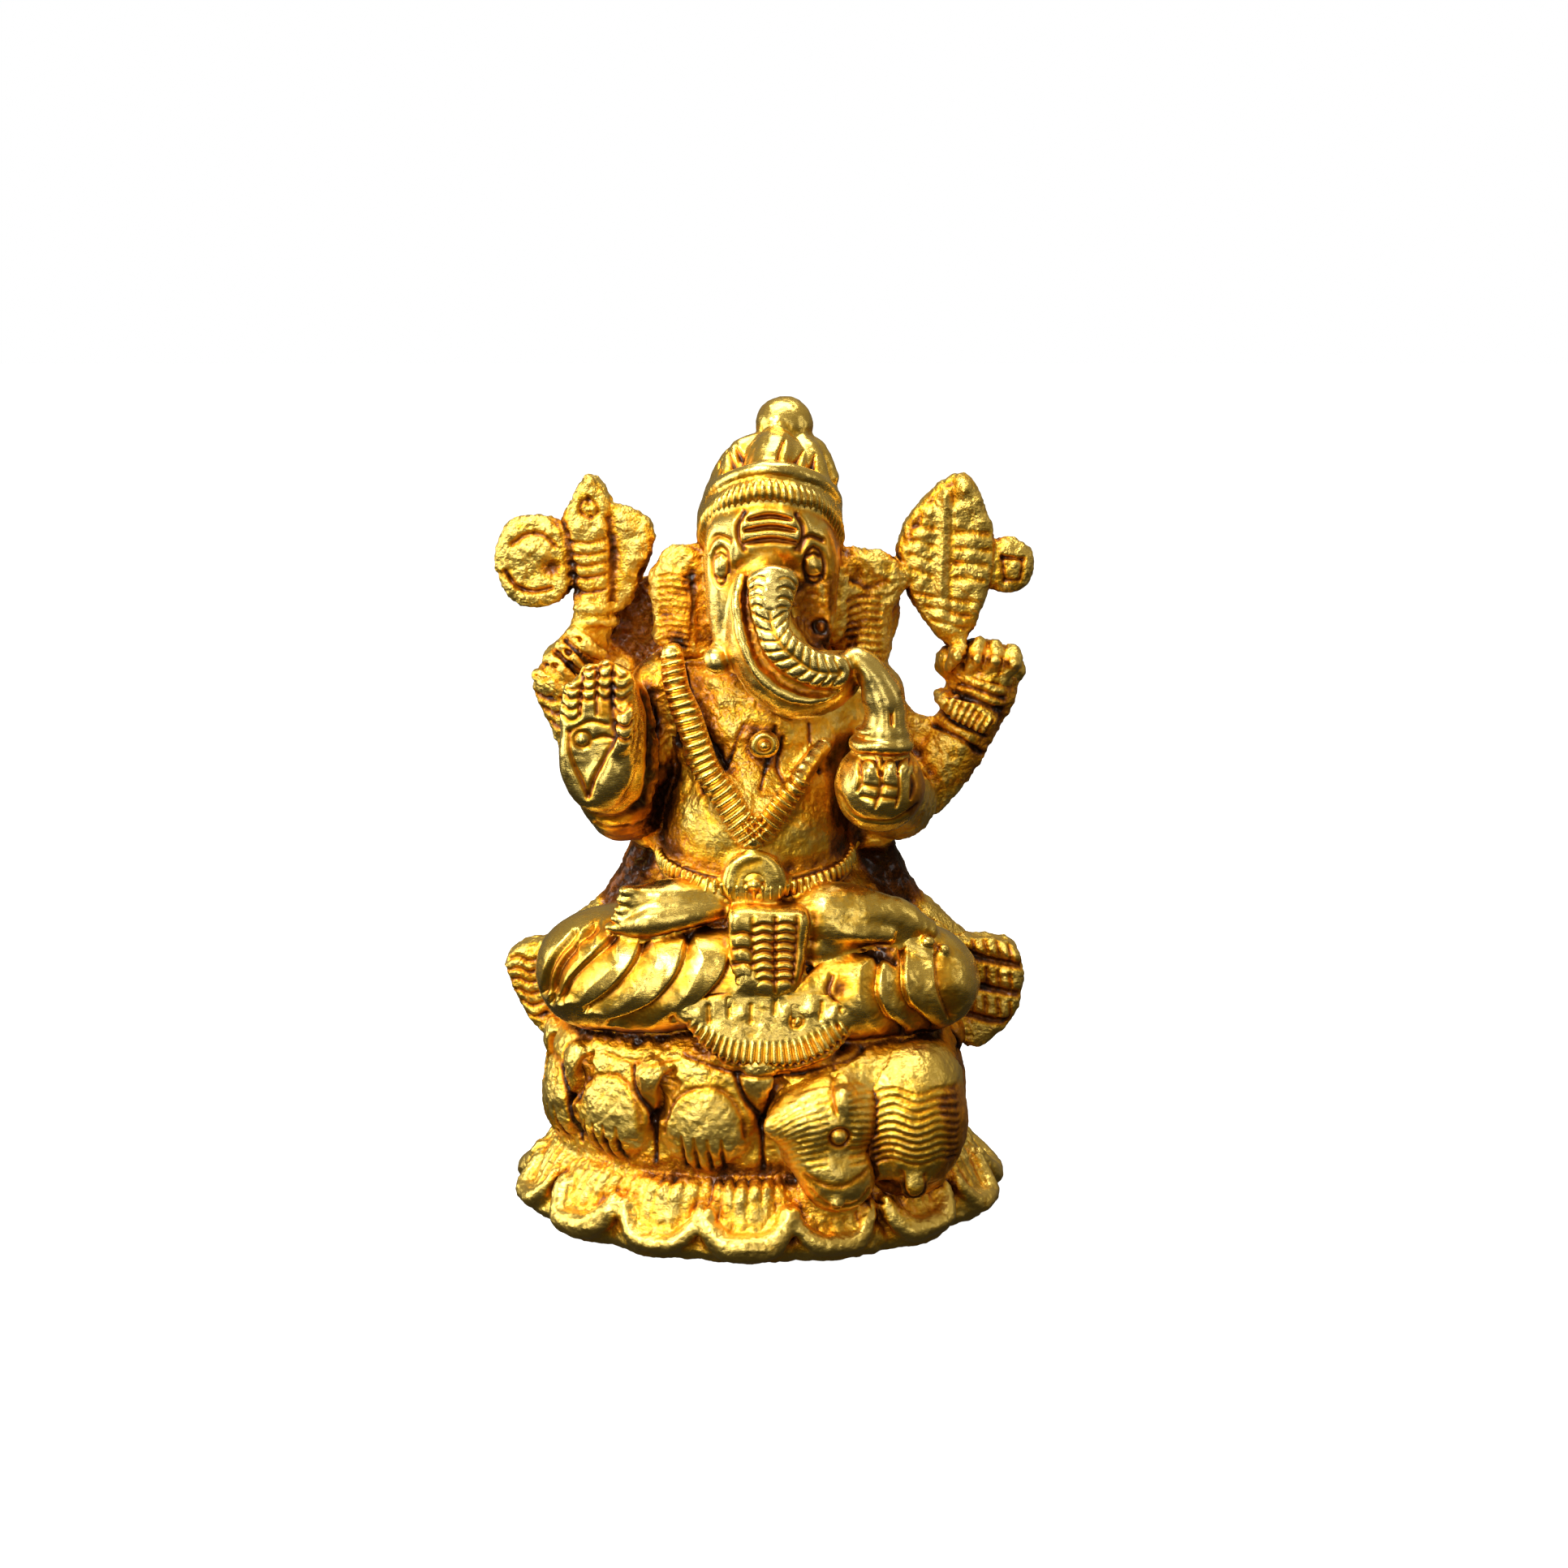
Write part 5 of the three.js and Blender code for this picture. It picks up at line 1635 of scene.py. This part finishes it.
def mouse():
    def face(skin):
        skin.ring_dot((4.95, 9.1), 0.62, 0.26, dot=0.55)
        for k in range(12):
            z = 12.6 - 0.45 * k
            skin.line([(0.6, z - 2.2), (2.2, z - 0.9), (4.2, z - 0.3)], 0.1, 0.06)
            skin.line([(5.7, z - 0.3), (6.5, z - 0.4), (7.4, z - 0.7)], 0.1, 0.08)
        skin.line([(2.6, 6.6), (3.7, 6.1), (5.2, 6.0), (6.8, 6.7)], 0.19, 0.1)
        skin.line([(3.0, 5.4), (3.9, 4.7), (5.0, 4.4), (6.3, 4.7), (7.0, 5.4)], 0.16, 0.14)
        skin.line([(4.7, 12.8), (4.4, 11.8), (4.7, 10.8)], 0.16, 0.16)
        # painted shade in the crease under the mouse's snout
        skin.paint_shade([(2.8, 6.4), (4.6, 6.0), (6.6, 6.4)], 0.5, 0.2)

    sculpt(
        "mouse_head", SATIN,
        [
            add(tube((1.0, -10.6, 9.4, 0.95), (2.7, -9.9, 9.6, 2.2), (4.7, -8.8, 9.6, 3.2))),
            add(egg((5.3, -11.1, 11.3), (0.8, 0.8, 1.1), (0, -6, 0)), 0.5),
            add(egg((3.3, -9.7, 7.7), (2.2, 2.3, 2.2)), 0.8),
            add(egg((4.9, -10.1, 5.7), (2.5, 2.3, 2.2)), 0.8),
            add(egg((4.5, -10.6, 6.8), (2.2, 1.6, 1.2)), 0.8),
            add(egg((4.8, -12.2, 4.7), (0.5, 0.4, 0.45)), 0.2),
        ],
        nodes=["mouse_head", "mouse_ear", "mouse_paws"], blend=0.5, chase=face, grain=0.035, rough=0.3,
        worn=0.3,
    )

    def fur(skin):
        for k in range(10):
            z = 11.6 - 0.52 * k
            skin.line([
                (7.3, z - 0.2), (8.6, z + 0.2), (10.1, z - 0.15), (11.5, z + 0.1), (12.8, z - 0.3),
            ], 0.14, 0.13)
        skin.line([(9.1, 6.2), (9.2, 4.9), (9.9, 4.3), (10.6, 4.9), (10.6, 6.0)], 0.17, 0.18)
        # painted shade down the mouse's right side and underneath, and where its body meets the head
        skin.paint_shade([(12.6, 10.5), (13.2, 7.0), (11.6, 4.4), (8.4, 4.4)], 1.4, 0.45)
        skin.paint_shade([(7.3, 11.0), (7.3, 6.0)], 0.5, 0.4)

    sculpt(
        "mouse_body", SATIN,
        [add(egg((9.8, -6.8, 8.6), (3.9, 4.3, 5.0))), add(egg((9.9, -10.2, 5.3), (0.9, 0.7, 1.2)), 0.4)],
        nodes=["mouse_body", "mouse_foot"], blend=1.4, chase=fur, grain=0.035, rough=0.4,
    )


crown()
head()
trunk()
ears()
torso()
belt()
right_front_arm()
left_front_arm()
right_rear_arm()
left_rear_arm()
axe()
noose()
legs()
skirt()
lotus()
mouse()
cast_all()


# ---------------------------------------------------------------- stage

# the camera stands in front, in mm of the sculpt, and looks a little down
TARGET = (1.35, 0.0, 29.97)
DISTANCE = 150.0
ELEVATION = math.radians(13)
LENS = 50.62

# the glow of the room, as the statuette's metal mirrors it
ROOM_COLOUR = (1.0, 0.84, 0.55, 1)
GLOW_BELOW, GLOW_ABOVE = 0.03, 0.32

LAMP_AIM = Vector((0, 0, 28)) * MM
LAMPS = (  # name, place, width, height, radiance
    ("key", (-85, -125, 145), 105, 80, 11.0),
    ("front_left", (-110, -180, 40), 60, 90, 3.0),
    ("front", (30, -210, 70), 60, 70, 2.2),
    ("top", (0, 0, 190), 130, 90, 5.5),
    ("side_right", (170, -40, 90), 30, 70, 1.6),
    ("side_left", (-165, -10, 55), 130, 100, 3.4),
)


def link(obj):
    bpy.context.scene.collection.objects.link(obj)
    return obj


def make_camera():
    camera = link(bpy.data.objects.new("camera", bpy.data.cameras.new("camera")))
    camera.data.lens = LENS
    camera.data.sensor_width = 36.0
    camera.data.clip_start = 10 * MM
    back, up = DISTANCE * math.cos(ELEVATION), DISTANCE * math.sin(ELEVATION)
    camera.location = Vector((TARGET[0], TARGET[1] - back, TARGET[2] + up)) * MM
    camera.rotation_euler = (math.pi / 2 - ELEVATION, 0, 0)
    bpy.context.scene.camera = camera


def make_floor():
    """A wide, evenly lit sheet of pale paper."""
    half = 1500 * MM
    corners = [(-half, -half, 0), (half, -half, 0), (half, half, 0), (-half, half, 0)]
    mesh = bpy.data.meshes.new("floor")
    mesh.from_pydata(corners, [], [(0, 1, 2, 3)])
    floor = link(bpy.data.objects.new("floor", mesh))
    floor.location.z = CAD_LOW.z
    floor.visible_glossy = False
    material = bpy.data.materials.new("pale_paper")
    material.use_nodes = True
    shader = material.node_tree.nodes["Principled BSDF"]
    shader.inputs["Base Color"].default_value = (0.6, 0.6, 0.6, 1)
    shader.inputs["Roughness"].default_value = 1.0
    shader.inputs["Specular IOR Level"].default_value = 0.0
    shader.inputs["Emission Color"].default_value = (1, 1, 1, 1)
    shader.inputs["Emission Strength"].default_value = 1.0
    mesh.materials.append(material)


def softbox(name, place, width, height, radiance):
    """A rectangular white lamp that faces the statuette."""
    lamp = bpy.data.lights.new(name, "AREA")
    lamp.shape = "RECTANGLE"
    lamp.size, lamp.size_y = width * MM, height * MM
    lamp.energy = radiance * math.pi * lamp.size * lamp.size_y
    obj = link(bpy.data.objects.new(name, lamp))
    obj.location = Vector(place) * MM
    obj.rotation_euler = (LAMP_AIM - obj.location).to_track_quat("-Z", "Y").to_euler()


def make_world():
    """A dim warm room whose walls look white behind the statuette."""
    world = bpy.data.worlds.new("studio")
    bpy.context.scene.world = world
    world.use_nodes = True
    nodes, links = world.node_tree.nodes, world.node_tree.links
    room = nodes["Background"]
    room.inputs["Color"].default_value = ROOM_COLOUR
    way = nodes.new("ShaderNodeTexCoord")
    split = nodes.new("ShaderNodeSeparateXYZ")
    height = nodes.new("ShaderNodeMapRange")
    for name, value in (
        ("From Min", -0.5), ("From Max", 0.6), ("To Min", GLOW_BELOW), ("To Max", GLOW_ABOVE),
    ):
        height.inputs[name].default_value = value
    links.new(way.outputs["Generated"], split.inputs[0])
    links.new(split.outputs["Z"], height.inputs["Value"])
    links.new(height.outputs["Result"], room.inputs["Strength"])
    wall = nodes.new("ShaderNodeBackground")
    wall.inputs["Color"].default_value = (1, 1, 1, 1)
    wall.inputs["Strength"].default_value = 1.0
    seen = nodes.new("ShaderNodeLightPath")
    mix = nodes.new("ShaderNodeMixShader")
    links.new(seen.outputs["Is Camera Ray"], mix.inputs["Fac"])
    links.new(room.outputs[0], mix.inputs[1])
    links.new(wall.outputs[0], mix.inputs[2])
    links.new(mix.outputs[0], nodes["World Output"].inputs["Surface"])


make_camera()
make_floor()
make_world()
for lamp in LAMPS:
    softbox(*lamp)
bpy.context.scene.view_settings.view_transform = "Standard"
